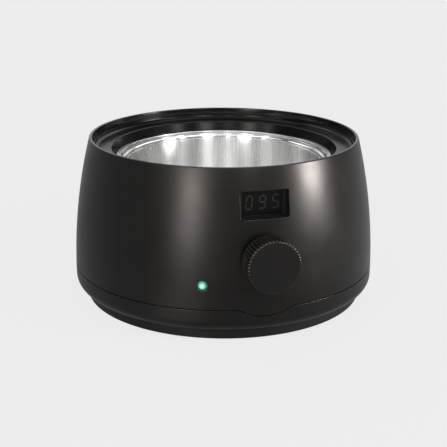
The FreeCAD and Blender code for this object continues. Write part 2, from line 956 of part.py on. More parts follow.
def make_heater_clamp_screw():
    """Screw and nut that draw the heater's ears together."""
    outer = clamp_half()
    head_end = -outer - ring_head_height
    nut_end = outer + clamp_nut_height
    shank = rod(ring_screw_radius, clamp_axis(head_end), clamp_axis(nut_end + clamp_screw_end))
    head = rod(clamp_head_radius, clamp_axis(head_end), clamp_axis(-outer))
    nut = rod(clamp_head_radius, clamp_axis(outer), clamp_axis(nut_end))
    return turned(joined([shank, head, nut]), heater_clamp_angle)


def make_insulation_sleeve():
    """Mineral wool sleeve round the heater, slotted for the clamp."""
    sleeve = ring(sleeve_inner, sleeve_outer, well_z + sleeve_above_floor, well_rim_z - sleeve_below_rim)
    middle = sum(heater_heights()) / 2
    half_width = clamp_half() + sleeve_slot_gap
    half_height = ear_height / 2 + sleeve_slot_rise
    slot = block(
        (heater_inner, sleeve_outer + through),
        (-half_width, half_width),
        (middle - half_height, middle + half_height))
    return sleeve.cut(turned(slot, heater_clamp_angle))


def cutout_spot(z=0.0, across=0.0):
    """Centre line of the thermal cut-out under the well."""
    return V(cutout_x, cutout_y + across, z)


def cutout_ears(z=0.0):
    """Centres of the cut-out's two screws."""
    return [cutout_spot(z, side * cutout_ear_pitch / 2) for side in (-1, 1)]


def sensor_spot(z=0.0, along=0.0):
    """Centre of the temperature sensor under the well, or a point along it."""
    return V(sensor_x + along, sensor_y, z)


def sensor_clip_spot(z=0.0):
    """Screw of the sensor's clip."""
    return sensor_spot(z, -sensor_length / 2 - sensor_clip_reach)


def sensor_lead_spot(z=0.0):
    """Where the sensor's cable drops through the heat shield."""
    return sensor_spot(z, sensor_length / 2 + sensor_lead_reach)


def shield_posts(z=0.0):
    """Centres of the three posts that carry the heat shield, clear of the control board."""
    return [polar(disc_radius - shield_post_inset, angle, z) for angle in shield_post_angles]


def make_insulation_disc():
    """Insulating board under the well, open round the cut-out and the sensor."""
    low, high = disc_z - through, well_z + through
    left = sensor_clip_spot().x - clip_width
    right = sensor_lead_spot().x + 2 * sensor_cable_radius
    pocket = rectangle(right - left, sensor_pocket_width, edge_round, ((left + right) / 2, sensor_y))
    holes = [flat_prism(pocket, low, high), column(cutout_radius + disc_hole_gap, cutout_spot(), low, high)]
    for spot in cutout_ears():
        holes.append(column(small_screw_radius + screw_hole_gap, spot, low, high))
    for spot in shield_posts():
        holes.append(column(shield_head_radius + disc_hole_gap, spot, low, high))
    return column(disc_radius, V(0, 0, 0), disc_z, well_z).cut(holes)


def make_heat_shield():
    """Steel dish that carries the insulation under the well."""
    lip = disc_radius + disc_edge_gap
    dish = revolved([
        (0, shield_z),
        (lip + shield_thickness, shield_z, shield_corner),
        (lip + shield_thickness, shield_z + shield_rim_height),
        (lip, shield_z + shield_rim_height),
        (lip, disc_z, shield_corner - shield_thickness),
        (0, disc_z),
    ])
    low, high = shield_z - through, disc_z + through
    holes = [
        column(cutout_radius + shield_hole_gap, cutout_spot(), low, high),
        column(2 * sensor_cable_radius, sensor_lead_spot(), low, high),
        column(small_screw_radius + thread_gap, sensor_clip_spot(), low, high),
    ]
    for spot in cutout_ears():
        holes.append(column(small_screw_radius + thread_gap, spot, low, high))
    for spot in shield_posts():
        holes.append(column(shield_screw_radius + screw_hole_gap, spot, low, high))
    return dish.cut(holes)


def pan_screw(seat, direction, radius, length, head_radius, head_height):
    """A screw whose head sits at a point and whose shank runs along a direction."""
    shank = rod(radius, seat, seat + direction * length)
    head = rod(head_radius, seat - direction * head_height, seat)
    recess_top = seat - direction * (head_height + through)
    recess = rod(radius * driver_share, recess_top, seat - direction * head_height * driver_share)
    return joined([shank, head]).cut(recess)


def small_screw(seat, direction, length):
    """One of the small screws of the boards, the cut-out and the sensor's clip."""
    return pan_screw(seat, direction, small_screw_radius, length, small_head_radius, small_head_height)


def make_shield_screws():
    """Three screws through the heat shield into its posts."""
    sizes = (shield_screw_radius, shield_screw_length, shield_head_radius, small_head_height)
    return [pan_screw(spot, -UP, *sizes) for spot in shield_posts(disc_z)]


def make_thermal_cutout():
    """Snap-disc thermal cut-out pressed against the well."""
    base = well_z - cutout_height
    strap_width = 2 * (small_head_radius + screw_hole_gap)
    strap_length = cutout_ear_pitch + strap_width
    strap = rectangle(strap_width, strap_length, strap_width * SLOT_END, (cutout_x, cutout_y))
    parts = [
        column(cutout_radius, cutout_spot(), base, well_z - seat_gap),
        flat_prism(strap, shield_z - cutout_ear_thickness, shield_z),
    ]
    for side in (-1, 1):
        tab = (cutout_x, cutout_y + side * cutout_tab_pitch / 2)
        outline = rectangle(cutout_tab_width, cutout_tab_thickness, 0.0, tab)
        parts.append(flat_prism(outline, base - cutout_tab_length, base + overlap))
    hole = small_screw_radius + screw_hole_gap
    return joined(parts).cut([column(hole, spot, shield_z - 2 * through, disc_z) for spot in cutout_ears()])


def make_cutout_screws():
    """Two screws that hold the cut-out to the heat shield."""
    length = cutout_ear_thickness + shield_thickness + through
    return [small_screw(spot, UP, length) for spot in cutout_ears(shield_z - cutout_ear_thickness)]


def make_temperature_sensor():
    """Capsule sensor lying against the underside of the well."""
    z = well_z - sensor_radius - seat_gap
    capsule = rod(sensor_radius, sensor_spot(z, -sensor_length / 2), sensor_spot(z, sensor_length / 2))
    rims = [e for e in capsule.Edges if e.Curve.TypeId == "Part::GeomCircle"]
    return capsule.makeFillet(sensor_round, rims)


def make_sensor_clip():
    """Sprung steel strip that holds the sensor up against the well."""
    foot = sensor_clip_spot().x
    foot_end = foot + small_head_radius + screw_hole_gap
    strip_top = well_z - 2 * sensor_radius - 2 * seat_gap
    knee = foot_end + clip_rise
    tip = sensor_x + sensor_length / 4
    strip = upright_prism([
        (foot - clip_width / 2, disc_z),
        (foot_end, disc_z),
        (knee, strip_top - clip_thickness),
        (tip, strip_top - clip_thickness),
        (tip, strip_top),
        (knee, strip_top),
        (foot_end, disc_z + clip_thickness),
        (foot - clip_width / 2, disc_z + clip_thickness),
    ], sensor_y - clip_width / 2, sensor_y + clip_width / 2)
    return strip.cut(column(small_screw_radius + screw_hole_gap, sensor_clip_spot(), shield_z, well_z))


def make_sensor_clip_screw():
    """Screw that holds the sensor's clip to the heat shield."""
    length = clip_thickness + shield_thickness + through
    return small_screw(sensor_clip_spot(disc_z + clip_thickness), -UP, length)


def board_fixings():
    """Centres of the control board's standoffs, at table level."""
    edge = standoff_radius + standoff_edge
    spots = []
    for radius, inset in ((board_outer - edge, fixing_inset), (board_inner + edge, inner_fixing_inset)):
        half_angle = board_half_angle - turn_along(inset, radius)
        spots.append(polar(radius, FRONT_ANGLE - half_angle))
        spots.append(polar(radius, FRONT_ANGLE + half_angle))
    return spots


def sector(inner, outer, half_angle, middle, z_from, z_to):
    """A flat sector of a ring about the Z axis."""
    low, high = middle - half_angle, middle + half_angle
    spots = [
        polar(inner, low),
        polar(outer, low),
        polar(outer, middle),
        polar(outer, high),
        polar(inner, high),
        polar(inner, middle),
    ]
    outline = [(p.x, p.y) for p in spots]
    outline[2] = ("via",) + outline[2]
    outline[5] = ("via",) + outline[5]
    return flat_prism(outline, z_from, z_to)


def make_control_board():
    """Sector-shaped circuit board in the front of the base."""
    board = sector(board_inner, board_outer, board_half_angle, FRONT_ANGLE, board_z, board_top)
    hole = small_screw_radius + screw_hole_gap
    return board.cut([column(hole, spot, board_z - through, board_top + through) for spot in board_fixings()])


def make_control_board_screws():
    """Screws that hold the control board to its standoffs."""
    return [small_screw(spot + UP * board_top, -UP, board_screw_length) for spot in board_fixings()]


def on_board(radial, tangential, height, angle):
    """A point above the board, in the radial frame of a component at an angle."""
    return FreeCAD.Rotation(UP, angle).multVec(V(radial, tangential, board_top + height))


def board_block(radius, angle, depth, width, height, base=0.0):
    """A box on the board, centred at a radius and an angle and facing outwards."""
    outline = rectangle(depth, width, 0.0, (radius, 0))
    return turned(flat_prism(outline, board_top + base, board_top + height), angle)


def make_board_relay():
    """Relay that switches the heater."""
    body = board_block(relay_radius, relay_angle, relay_depth, relay_width, relay_height)
    return body.makeChamfer(edge_round, top_edges(body))


def make_board_transformer():
    """Small transformer: its bobbin's foot, its core and the winding."""
    spot = (transformer_radius, transformer_angle)
    depth, width, height = transformer_depth, transformer_width, transformer_height
    foot_top = transformer_foot - overlap
    foot = board_block(*spot, depth, width, transformer_foot)
    core = board_block(*spot, transformer_core_depth, width, height, foot_top)
    winding_top = height - transformer_foot
    winding = board_block(*spot, depth - overlap, transformer_winding_width, winding_top, foot_top)
    return joined([foot, core, winding])


def make_board_capacitors():
    """Two upright capacitors."""
    large_spot = polar(board_outer - large_can_inset, large_can_angle)
    small_spot = polar(board_outer - small_can_inset, small_can_angle)
    sizes = (large_can_radius, large_spot, large_can_height), (small_can_radius, small_spot, small_can_height)
    cans = []
    for radius, spot, height in sizes:
        can = column(radius, spot, board_top, board_top + height)
        cans.append(can.makeFillet(edge_round, top_edges(can)))
    return cans


def make_board_fuse():
    """Cartridge fuse lying in two clips."""
    half = fuse_length / 2
    axis_height = fuse_radius + fuse_lift
    ends = [on_board(fuse_spot_radius, side * half, axis_height, fuse_angle) for side in (-1, 1)]
    parts = [rod(fuse_radius, *ends)]
    clip = rectangle(2 * (fuse_radius + cutout_tab_thickness), fuse_clip_length)
    for side in (-1, 1):
        middle = side * (half - fuse_clip_inset - fuse_clip_length / 2)
        holder = flat_prism(clip, board_top, board_top + axis_height)
        holder.translate(V(fuse_spot_radius, middle, 0))
        parts.append(turned(holder, fuse_angle))
    return joined(parts)


def make_board_terminals():
    """Screw terminal blocks for the mains and for the heater."""
    blocks = []
    for side in (-1, 1):
        angle = FRONT_ANGLE + side * terminal_angle
        body = board_block(terminal_radius, angle, terminal_depth, terminal_width, terminal_height)
        wells = []
        for i in range(terminal_ways):
            radial = terminal_radius + (i - (terminal_ways - 1) / 2) * terminal_depth / terminal_ways
            across = -side * terminal_width / 5
            bottom = on_board(radial, across, terminal_height - terminal_well_depth, angle)
            wells.append(rod(terminal_well_radius, bottom, bottom + UP * (terminal_well_depth + through)))
        blocks.append(body.cut(wells))
    return blocks


def header_block(x, y, width, depth):
    """A plug header on the board, square to the front."""
    return flat_prism(rectangle(width, depth, 0.0, (x, -y)), board_top, header_z)


def make_board_headers():
    """Plug headers for the display, the potentiometer, the lamp and the sensor."""
    depth = board_header_depth
    sensor_spot_on_board = (sensor_header_radius, sensor_header_angle)
    return [
        header_block(ribbon_x, ribbon_y, ribbon_width + board_header_depth, 2 * header_depth),
        header_block(dial_header_x, dial_header_y, 3 * header_pitch + edge_round, depth),
        header_block(lamp_header_x, dial_header_y, 2 * lamp_header_pitch, depth),
        board_block(*sensor_spot_on_board, sensor_header_depth, 2 * depth, board_header_height),
    ]


def segment(ax, az, bx, bz):
    """Hexagonal bar between two corners of a digit, as an outline."""
    length = math.hypot(bx - ax, bz - az)
    ux, uz = (bx - ax) / length, (bz - az) / length
    half = segment_width / 2
    near, far = segment_gap, length - segment_gap
    along = [
        (near, 0),
        (near + half, -half),
        (far - half, -half),
        (far, 0),
        (far - half, half),
        (near + half, half),
    ]
    return [(ax + ux * s - uz * t, az + uz * s + ux * t) for s, t in along]


def digit_segments(centre):
    """The seven bars of one leaning digit, in the usual order from the top clockwise."""
    a = (digit_width - segment_width) / 2
    b = (digit_height - segment_width) / 2
    ends = [
        (-a, b, a, b),
        (a, b, a, 0),
        (a, 0, a, -b),
        (-a, -b, a, -b),
        (-a, -b, -a, 0),
        (-a, 0, -a, b),
        (-a, 0, a, 0),
    ]
    bars = []
    for end in ends:
        outline = [(centre + x + digit_lean * z, display_z + z) for x, z in segment(*end)]
        bars.append(upright_prism(outline, -module_front - segment_raise, -module_front))
    return bars


def display_bars():
    """Lit bars and dark bars of the three digits."""
    lit, dark = [], []
    for place, shown in enumerate(shown_bars):
        centre = (place - 1) * digit_pitch
        for index, bar in enumerate(digit_segments(centre)):
            if index in shown:
                lit.append(bar)
            else:
                dark.append(bar)
        point = V(centre + point_offset, -module_front, display_z - (digit_height - segment_width) / 2)
        dark.append(rod(segment_width / 2, point, point + FRONT * segment_raise))
    return lit, dark


def module_outline(margin=0.0):
    """Outline of the display module, grown by a margin."""
    return rectangle(module_width + 2 * margin, module_height + 2 * margin, module_corner, (0, display_z))


def make_display_module():
    """Potted three-digit display block."""
    return upright_prism(module_outline(), -module_front, -board_front)


def make_display_frame():
    """Tunnel from the window back to the display board, with a mask round the module."""
    near, far = -body_radius - through, -board_front + through
    tunnel = upright_prism(window_outline(frame_wall), -body_radius, -board_front).cut([
        upright_prism(window_outline(), near, -module_front),
        upright_prism(module_outline(module_gap), near, far),
        upright_prism(window_outline(), mask_thickness - module_front, far),
    ])
    return tunnel.common(side_form(wall + frame_gap, belly_z, body_z))


def display_post_spot(side, y):
    """Centre line of a display post."""
    return V(side * display_post_offset, y, display_z)


def make_display_board():
    """Circuit board that carries the display."""
    outline = rectangle(display_board_width, display_board_height, display_board_corner, (0, display_z))
    board = upright_prism(outline, -board_front, board_thickness - board_front)
    hole = small_screw_radius + screw_hole_gap
    axes = [(display_post_spot(side, -body_radius), display_post_spot(side, 0)) for side in (-1, 1)]
    return board.cut([rod(hole, start, end) for start, end in axes])


def display_header_bottom():
    """Underside of the ribbon's header on the display board."""
    return display_z - display_board_height / 2 + header_inset


def make_display_header():
    """Ribbon header on the back of the display board."""
    rear = board_thickness - board_front
    middle = display_header_bottom() + header_height / 2
    outline = rectangle(ribbon_width + 2 * ribbon_pitch, header_height, 0.0, (ribbon_x, middle))
    return upright_prism(outline, rear, rear + header_depth)


def make_display_screws():
    """Two screws that hold the display board to its posts."""
    seats = [display_post_spot(side, board_thickness - board_front) for side in (-1, 1)]
    return [small_screw(seat, FRONT, small_screw_length) for seat in seats]


def make_ribbon_cable():
    """Flat cable between the display board and the control board."""
    count = int(ribbon_width / ribbon_pitch)
    strands = []
    for i in range(count):
        x = ribbon_x + (i - (count - 1) / 2) * ribbon_pitch
        strands.append(column(ribbon_strand_radius, V(x, -ribbon_y, 0), header_z, display_header_bottom()))
    return joined(strands)


def facing(shape, height, angle=0.0):
    """Lay a shape built along +Z so that it points outwards at the front, at a height."""
    copy = shape.copy()
    copy.rotate(V(0, 0, 0), V(1, 0, 0), 90)
    copy.translate(V(0, 0, height))
    return turned(copy, angle)


def on_axis(radius, z_from, z_to):
    """A round bar on the Z axis."""
    return column(radius, V(0, 0, 0), z_from, z_to)


def make_potentiometer_body():
    """Housing of the potentiometer, with its threaded bushing and its end stop."""
    housing = flat_prism(rectangle(dial_width, dial_height, dial_corner), dial_rear, pad_plane)
    bushing = on_axis(bushing_radius, pad_plane - overlap, bushing_end)
    stop_half = 180.0 - knob_travel - stop_lug_half - stop_margin
    stop_outer = rotor_radius + 2 * rotor_side_gap
    stop_front = rotor_rear - rotor_play
    stop = sector(stop_inner, stop_outer, stop_half, FRONT_ANGLE, cavity_rear - overlap, stop_front)
    hollows = [
        on_axis(rotor_radius + rotor_side_gap, cavity_rear, cavity_front),
        on_axis(shaft_radius + shaft_fit, cavity_front - through, bushing_end + through),
        on_axis(pivot_radius + shaft_fit, dial_rear - through, cavity_rear + through),
    ]
    return facing(joined([joined([housing, bushing]).cut(hollows), stop]), knob_z)


def make_potentiometer_shaft():
    """Shaft with the rotor and its stop lug."""
    tip = knob_back + knob_depth - knob_face - shaft_end_gap
    shaft = on_axis(shaft_radius, rotor_rear, tip)
    shaft = shaft.makeChamfer(knob_chamfer, top_edges(shaft))
    pivot = on_axis(pivot_radius, dial_rear + rotor_play, rotor_rear + overlap)
    rotor = on_axis(rotor_radius, rotor_rear, rotor_rear + rotor_thickness)
    lug_rear = cavity_rear + rotor_play
    lug = sector(stop_inner, rotor_radius, stop_lug_half, REAR_ANGLE, lug_rear, rotor_rear + overlap)
    return facing(joined([shaft, pivot, rotor, lug]), knob_z)


def make_potentiometer_tags():
    """Three solder tags below the housing."""
    outline = rectangle(tag_width, tag_thickness, 0.0, (0, -tag_plane))
    tag = flat_prism(outline, tag_end_z, tag_end_z + tag_length)
    return [tag.translated(V(i * tag_pitch, 0, 0)) for i in (-1, 0, 1)]


def make_potentiometer_washer():
    """Washer under the potentiometer's nut."""
    washer = ring(bushing_radius + bushing_hole_gap, washer_radius, spot_plane, spot_plane + washer_thickness)
    return facing(washer, knob_z)


def make_potentiometer_nut():
    """Hexagon nut that holds the potentiometer to the shell."""
    corner_radius_of_nut = nut_across_flats / math.sqrt(3)
    corners = [polar(corner_radius_of_nut, 60 * i) for i in range(6)]
    low = spot_plane + washer_thickness
    high = low + nut_thickness
    nut = flat_prism([(p.x, p.y) for p in corners], low, high)
    return facing(nut.cut(on_axis(bushing_radius + thread_gap, low - through, high + through)), knob_z)


def make_control_knob():
    """Hollow fluted knob with a hub on the shaft."""
    front = knob_back + knob_depth
    roof = front - knob_face
    bore = shaft_radius + hub_fit
    hub_end = bushing_end + knob_hub_gap
    cavity = knob_radius - knob_skin
    knob = revolved([
        (0, front),
        (0, roof),
        (bore, roof),
        (bore, hub_end),
        (knob_hub_radius, hub_end),
        (knob_hub_radius, roof),
        (cavity, roof, knob_inner_round),
        (cavity, knob_back),
        (knob_radius, knob_back, knob_round),
        (knob_radius, front - knob_chamfer),
        (knob_radius - knob_chamfer, front),
    ])
    step = 360.0 / knob_flutes
    groove_radius = math.pi * knob_radius / knob_flutes * knob_flute_width
    groove_centre = knob_radius - knob_flute_depth + groove_radius
    spots = [polar(groove_centre, step * i) for i in range(knob_flutes)]
    grooves = [column(groove_radius, spot, knob_back - through, front + through) for spot in spots]
    return facing(knob.cut(grooves), knob_z)


def make_indicator_led():
    """Round lamp with a domed tip."""
    back = led_tip - led_length
    dome = led_tip - led_radius
    slope = led_radius * math.sqrt(0.5)
    lamp = revolved([
        (0, back),
        (led_radius + led_flange, back),
        (led_radius + led_flange, back + led_flange_height),
        (led_radius, back + led_flange_height),
        (led_radius, dome),
        ("via", slope, dome + slope),
        (0, led_tip),
    ])
    return facing(lamp, led_height, led_angle)


def make_led_holder():
    """Bushing that holds the lamp in the shell, its nose flush with the surface."""
    back = led_tip - led_length - led_holder_back
    step = led_tip - led_length + led_flange_height + seat_gap
    shoulder = side_radius(led_height, wall) - led_shoulder_gap
    nose = body_radius + through
    bore = led_radius + thread_gap
    nose_radius = led_radius + led_hole_gap
    holder = revolved([
        (led_radius + led_flange + thread_gap, back),
        (nose_radius + led_holder_wall, back),
        (nose_radius + led_holder_wall, shoulder),
        (nose_radius, shoulder),
        (nose_radius, nose),
        (bore, nose),
        (bore, step),
        (led_radius + led_flange + thread_gap, step),
    ])
    return facing(holder, led_height, led_angle).common(side_form(seat_gap, base_ring_top, body_z))


def lamp_lead_spots(depth):
    """Centres of the lamp's two leads at a distance from the body's axis."""
    spots = [V(side * led_lead_pitch / 2, -depth, led_height) for side in (-1, 1)]
    return [FreeCAD.Rotation(UP, led_angle).multVec(s) for s in spots]


def make_led_leads():
    """The lamp's two leads."""
    back = led_tip - led_length
    ends = zip(lamp_lead_spots(back), lamp_lead_spots(back - led_lead_length))
    return [rod(led_lead_radius, near, far) for near, far in ends]


def inlet_flange_outline(margin=0.0):
    """Outline of the inlet's flange, grown by a margin."""
    width, height = inlet_flange_width + 2 * margin, inlet_flange_height + 2 * margin
    return rectangle(width, height, inlet_corner + margin, (0, inlet_height))


def inlet_body_outline(margin=0.0):
    """Outline of the inlet's body behind its flange, grown by a margin."""
    width, height = inlet_body_width + 2 * margin, inlet_body_height + 2 * margin
    return rectangle(width, height, inlet_body_corner + margin, (0, inlet_height))


def inlet_barb_solid(side):
    """Snap barb above (1) or below (-1) the inlet's body."""
    foot = inlet_height + side * (inlet_body_height / 2 - overlap)
    crest = inlet_height + side * (inlet_body_height / 2 + inlet_fit + inlet_barb)
    edge = inlet_inside - inlet_fit
    half = inlet_barb_width / 2
    corners = [V(-half, edge, foot), V(-half, edge, crest), V(-half, edge - inlet_barb_length, foot)]
    return Part.Face(Part.makePolygon(corners + corners[:1])).extrude(V(inlet_barb_width, 0, 0))


def make_inlet_body():
    """Two-pin mains inlet, snapped into the rear of the shell."""
    face = inlet_plane + inlet_flange_depth
    back = inlet_plane - inlet_body_depth
    shape = joined([
        upright_prism(inlet_flange_outline(), inlet_plane, face),
        upright_prism(inlet_body_outline(), back, inlet_plane + overlap),
        inlet_barb_solid(-1),
        inlet_barb_solid(1),
    ])
    height = 2 * inlet_socket_radius
    socket = rectangle(2 * inlet_socket_half, height, height * SLOT_END, (0, inlet_height))
    holes = [upright_prism(socket, face - inlet_socket_depth, face + through)]
    for spot in inlet_pin_spots():
        holes.append(rod(inlet_pin_radius + thread_gap, spot + V(0, back - through, 0), spot + V(0, face, 0)))
    return shape.cut(holes)


def inlet_pin_spots():
    """The two pins' centres, on the plane y = 0."""
    return [V(side * inlet_pin_pitch / 2, 0, inlet_height) for side in (-1, 1)]


def make_inlet_pins():
    """Two contact pins with rounded tips."""
    start = V(0, inlet_plane - inlet_body_depth - inlet_tail, 0)
    tip = V(0, inlet_plane + inlet_flange_depth - inlet_socket_depth + inlet_pin_length, 0)
    pins = []
    for spot in inlet_pin_spots():
        pin = rod(inlet_pin_radius, spot + start, spot + tip)
        rim = [e for e in pin.Edges if e.BoundBox.YMin > tip.y - 1e-3]
        pins.append(pin.makeFillet(inlet_pin_round, rim))
    return pins


def make_case_screws():
    """Long screws from the base into the upper shell's posts."""
    length = post_joint_z + case_screw_bite - case_seat_z
    sizes = (case_screw_radius, length, case_head_radius, case_head_height)
    return [pan_screw(spot + UP * case_seat_z, UP, *sizes) for spot in post_spots()]


def make_top_ring_screws():
    """Screws through the shell's lugs into the top ring."""
    seat = UP * (lug_z - lug_height)
    sizes = (ring_screw_radius, lug_height + ring_screw_grip, ring_head_radius, ring_head_height)
    return [pan_screw(spot + seat, UP, *sizes) for spot in ring_screw_spots()]


def wire(points, radius):
    """A round wire along straight runs joined by tangent arcs."""
    edges = []
    start = points[0]
    for before, corner, after in zip(points, points[1:], points[2:]):
        turn = (corner - before).getAngle(after - corner)
        run = min((corner - before).Length, (after - corner).Length)
        bend = BEND_SHARE * run / math.tan(turn / 2)
        arc_start, arc_middle, arc_end = corner_arc(before, corner, after, bend)
        edges.append(Part.makeLine(start, arc_start))
        edges.append(Part.Arc(arc_start, arc_middle, arc_end).toShape())
        start = arc_end
    edges.append(Part.makeLine(start, points[-1]))
    section = Part.Wire([Part.makeCircle(radius, points[0], points[1] - points[0])])
    return Part.Wire(edges).makePipeShell([section], True, False)


def make_mains_leads():
    """Two leads from the inlet, round the floor, to the mains terminals."""
    angle = FRONT_ANGLE - terminal_angle
    y = inlet_plane - inlet_body_depth - inlet_tail / 2
    edge = -terminal_width / 2 - thread_gap
    leads = []
    for lane, spot in enumerate(inlet_pin_spots()):
        radius = lead_lane_radius - lane * lead_lane_pitch
        first = lead_first_angle + lane * lead_lane_turn
        step = (lead_last_angle - first) / (lead_steps - 1)
        radial = terminal_radius + (0.5 - lane) * terminal_depth / terminal_ways
        points = [V(spot.x, y, inlet_height - inlet_pin_radius - thread_gap), V(spot.x, y, lead_drop_z)]
        height = floor_top + wire_radius + seat_gap
        points += [polar(radius, first + step * i, height) for i in range(lead_steps)]
        points.append(on_board(radial, edge - lead_tail, terminal_height / 2, angle))
        points.append(on_board(radial, edge, terminal_height / 2, angle))
        leads.append(wire(points, wire_radius))
    return leads


def make_heater_leads():
    """Leads from the terminals to the band heater, one of them through the cut-out."""
    heater_end = heater_heights()[0] - thread_gap
    radius = (heater_inner + heater_outer) / 2
    top = on_board(radius, terminal_width / 4, terminal_height + thread_gap, FRONT_ANGLE + terminal_angle)
    straight = rod(lead_radius, top, V(top.x, top.y, heater_end))
    tab_z = well_z - cutout_height - cutout_tab_length / 2
    edge = V(-cutout_tab_width / 2 - thread_gap, 0, 0)
    far_tab = cutout_spot(tab_z, cutout_tab_pitch / 2) + edge
    near_tab = cutout_spot(tab_z, -cutout_tab_pitch / 2) + edge
    drop = polar(radius, heater_lead_angle)
    to_heater = wire([far_tab, drop + UP * tab_z, drop + UP * heater_end], lead_radius)
    left = FRONT_ANGLE - terminal_angle
    inner = terminal_radius - terminal_depth / 2 - thread_gap
    middle = terminal_height / 2
    to_terminal = wire([
        near_tab,
        near_tab - V(lead_tail, 0, 0),
        on_board(inner - 2 * lead_tail, 0, middle, left),
        on_board(inner, 0, middle, left),
    ], lead_radius)
    return [straight, to_heater, to_terminal]


def make_sensor_cable():
    """Cable from the sensor down to its header."""
    z = well_z - sensor_radius - seat_gap
    height = board_header_height / 2
    header = sensor_header_radius - sensor_header_depth / 2 - thread_gap
    return wire([
        sensor_spot(z, sensor_length / 2 + thread_gap),
        sensor_lead_spot(z),
        sensor_lead_spot(board_top + height),
        on_board(header - lead_tail, 0, height, sensor_header_angle),
        on_board(header, 0, height, sensor_header_angle),
    ], sensor_cable_radius)


def make_dial_wires():
    """Three wires from the potentiometer's tags to their header."""
    wires = []
    for i in (-1, 0, 1):
        start = V(i * tag_pitch, -tag_plane, tag_end_z - thread_gap)
        end = V(dial_header_x + i * header_pitch, -dial_header_y, header_z + thread_gap)
        wires.append(wire([start, start - UP * lead_tail, end + UP * lead_tail, end], thin_wire_radius))
    return wires


def make_lamp_wires():
    """Two wires from the lamp's leads to their header."""
    depth = led_tip - led_length - led_lead_length - thread_gap
    starts = lamp_lead_spots(depth)
    turns = lamp_lead_spots(depth - lead_tail)
    wires = []
    for side, start, bend in zip((-1, 1), starts, turns):
        end = V(lamp_header_x + side * lamp_header_pitch / 2, -dial_header_y, header_z + thread_gap)
        wires.append(wire([start, bend, end + UP * 2 * lead_tail, end], lamp_wire_radius))
    return wires


def save(name, shape):
    """Write one node: a solid, or a group of separate solids."""
    solids = []
    for item in shape if isinstance(shape, list) else [shape]:
        solids.extend(item.Solids)
    for solid in solids:
        if not solid.isValid() or solid.Volume <= 0:
            raise ValueError("bad solid in " + name)
    body = solids[0] if len(solids) == 1 else Part.makeCompound(solids)
    body.exportStep(os.path.join("parts", name + ".step"))
    print(name, len(solids), round(sum(s.Volume for s in solids), 1))


os.makedirs("parts", exist_ok=True)
lit_bars, dark_bars = display_bars()
for name, shape in (
    ("foot_ring", make_foot_ring()),
    ("base_tray", make_base_tray()),
    ("lower_shell", make_lower_shell()),
    ("upper_shell", make_upper_shell()),
    ("top_ring", make_top_ring()),
    ("heating_well", make_heating_well()),
    ("wax_pot", make_wax_pot()),
    ("band_heater", make_band_heater()),
    ("heater_clamp_screw", make_heater_clamp_screw()),
    ("insulation_sleeve", make_insulation_sleeve()),
    ("insulation_disc", make_insulation_disc()),
    ("heat_shield", make_heat_shield()),
    ("shield_screws", make_shield_screws()),
    ("thermal_cutout", make_thermal_cutout()),
    ("cutout_screws", make_cutout_screws()),
    ("temperature_sensor", make_temperature_sensor()),
    ("sensor_clip", make_sensor_clip()),
    ("sensor_clip_screw", make_sensor_clip_screw()),
    ("control_board", make_control_board()),
    ("control_board_screws", make_control_board_screws()),
    ("board_relay", make_board_relay()),
    ("board_transformer", make_board_transformer()),
    ("board_capacitors", make_board_capacitors()),
    ("board_fuse", make_board_fuse()),
    ("board_terminals", make_board_terminals()),
    ("board_headers", make_board_headers()),
    ("display_module", make_display_module()),
    ("display_lit_bars", lit_bars),
    ("display_dark_bars", dark_bars),
    ("display_frame", make_display_frame()),
    ("display_board", make_display_board()),
    ("display_header", make_display_header()),
    ("display_screws", make_display_screws()),
    ("ribbon_cable", make_ribbon_cable()),
    ("potentiometer_body", make_potentiometer_body()),
    ("potentiometer_shaft", make_potentiometer_shaft()),
    ("potentiometer_tags", make_potentiometer_tags()),
    ("potentiometer_washer", make_potentiometer_washer()),
    ("potentiometer_nut", make_potentiometer_nut()),
    ("control_knob", make_control_knob()),
    ("indicator_led", make_indicator_led()),
    ("led_holder", make_led_holder()),
    ("led_leads", make_led_leads()),
    ("inlet_body", make_inlet_body()),
    ("inlet_pins", make_inlet_pins()),
    ("case_screws", make_case_screws()),
    ("top_ring_screws", make_top_ring_screws()),
    ("mains_leads", make_mains_leads()),
    ("heater_leads", make_heater_leads()),
    ("sensor_cable", make_sensor_cable()),
    ("dial_wires", make_dial_wires()),
    ("lamp_wires", make_lamp_wires()),
):
    save(name, shape)
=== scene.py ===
import math

import bmesh
import bpy
from mathutils import Matrix, Vector


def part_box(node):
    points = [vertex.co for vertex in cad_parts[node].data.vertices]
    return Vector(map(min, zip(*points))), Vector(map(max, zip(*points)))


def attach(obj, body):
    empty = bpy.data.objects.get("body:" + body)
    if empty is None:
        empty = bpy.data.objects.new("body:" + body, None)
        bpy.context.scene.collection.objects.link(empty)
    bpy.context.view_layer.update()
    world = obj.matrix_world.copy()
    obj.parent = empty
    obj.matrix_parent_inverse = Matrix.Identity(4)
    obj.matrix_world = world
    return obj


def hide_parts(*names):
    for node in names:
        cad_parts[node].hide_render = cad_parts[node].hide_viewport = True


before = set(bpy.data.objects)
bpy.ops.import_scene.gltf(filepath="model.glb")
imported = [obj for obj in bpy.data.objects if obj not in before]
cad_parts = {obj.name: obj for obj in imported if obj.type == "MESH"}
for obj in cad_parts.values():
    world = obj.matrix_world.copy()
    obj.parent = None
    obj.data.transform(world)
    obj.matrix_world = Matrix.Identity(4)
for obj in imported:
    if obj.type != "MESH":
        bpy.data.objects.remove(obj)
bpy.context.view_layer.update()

# The two shells, the knob and the pot are drawn here with rounded edges. The other CAD nodes keep
# their shape, and every node gets a procedural material.
#
# Lengths are millimetres here and become metres where a mesh, a material, a light or the camera is
# made. Angles round the body are degrees from its front, positive towards +X.
MM = 0.001


def node_box(node):
    """Lowest and highest corner of a CAD node, in millimetres."""
    low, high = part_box(node)
    return low / MM, high / MM


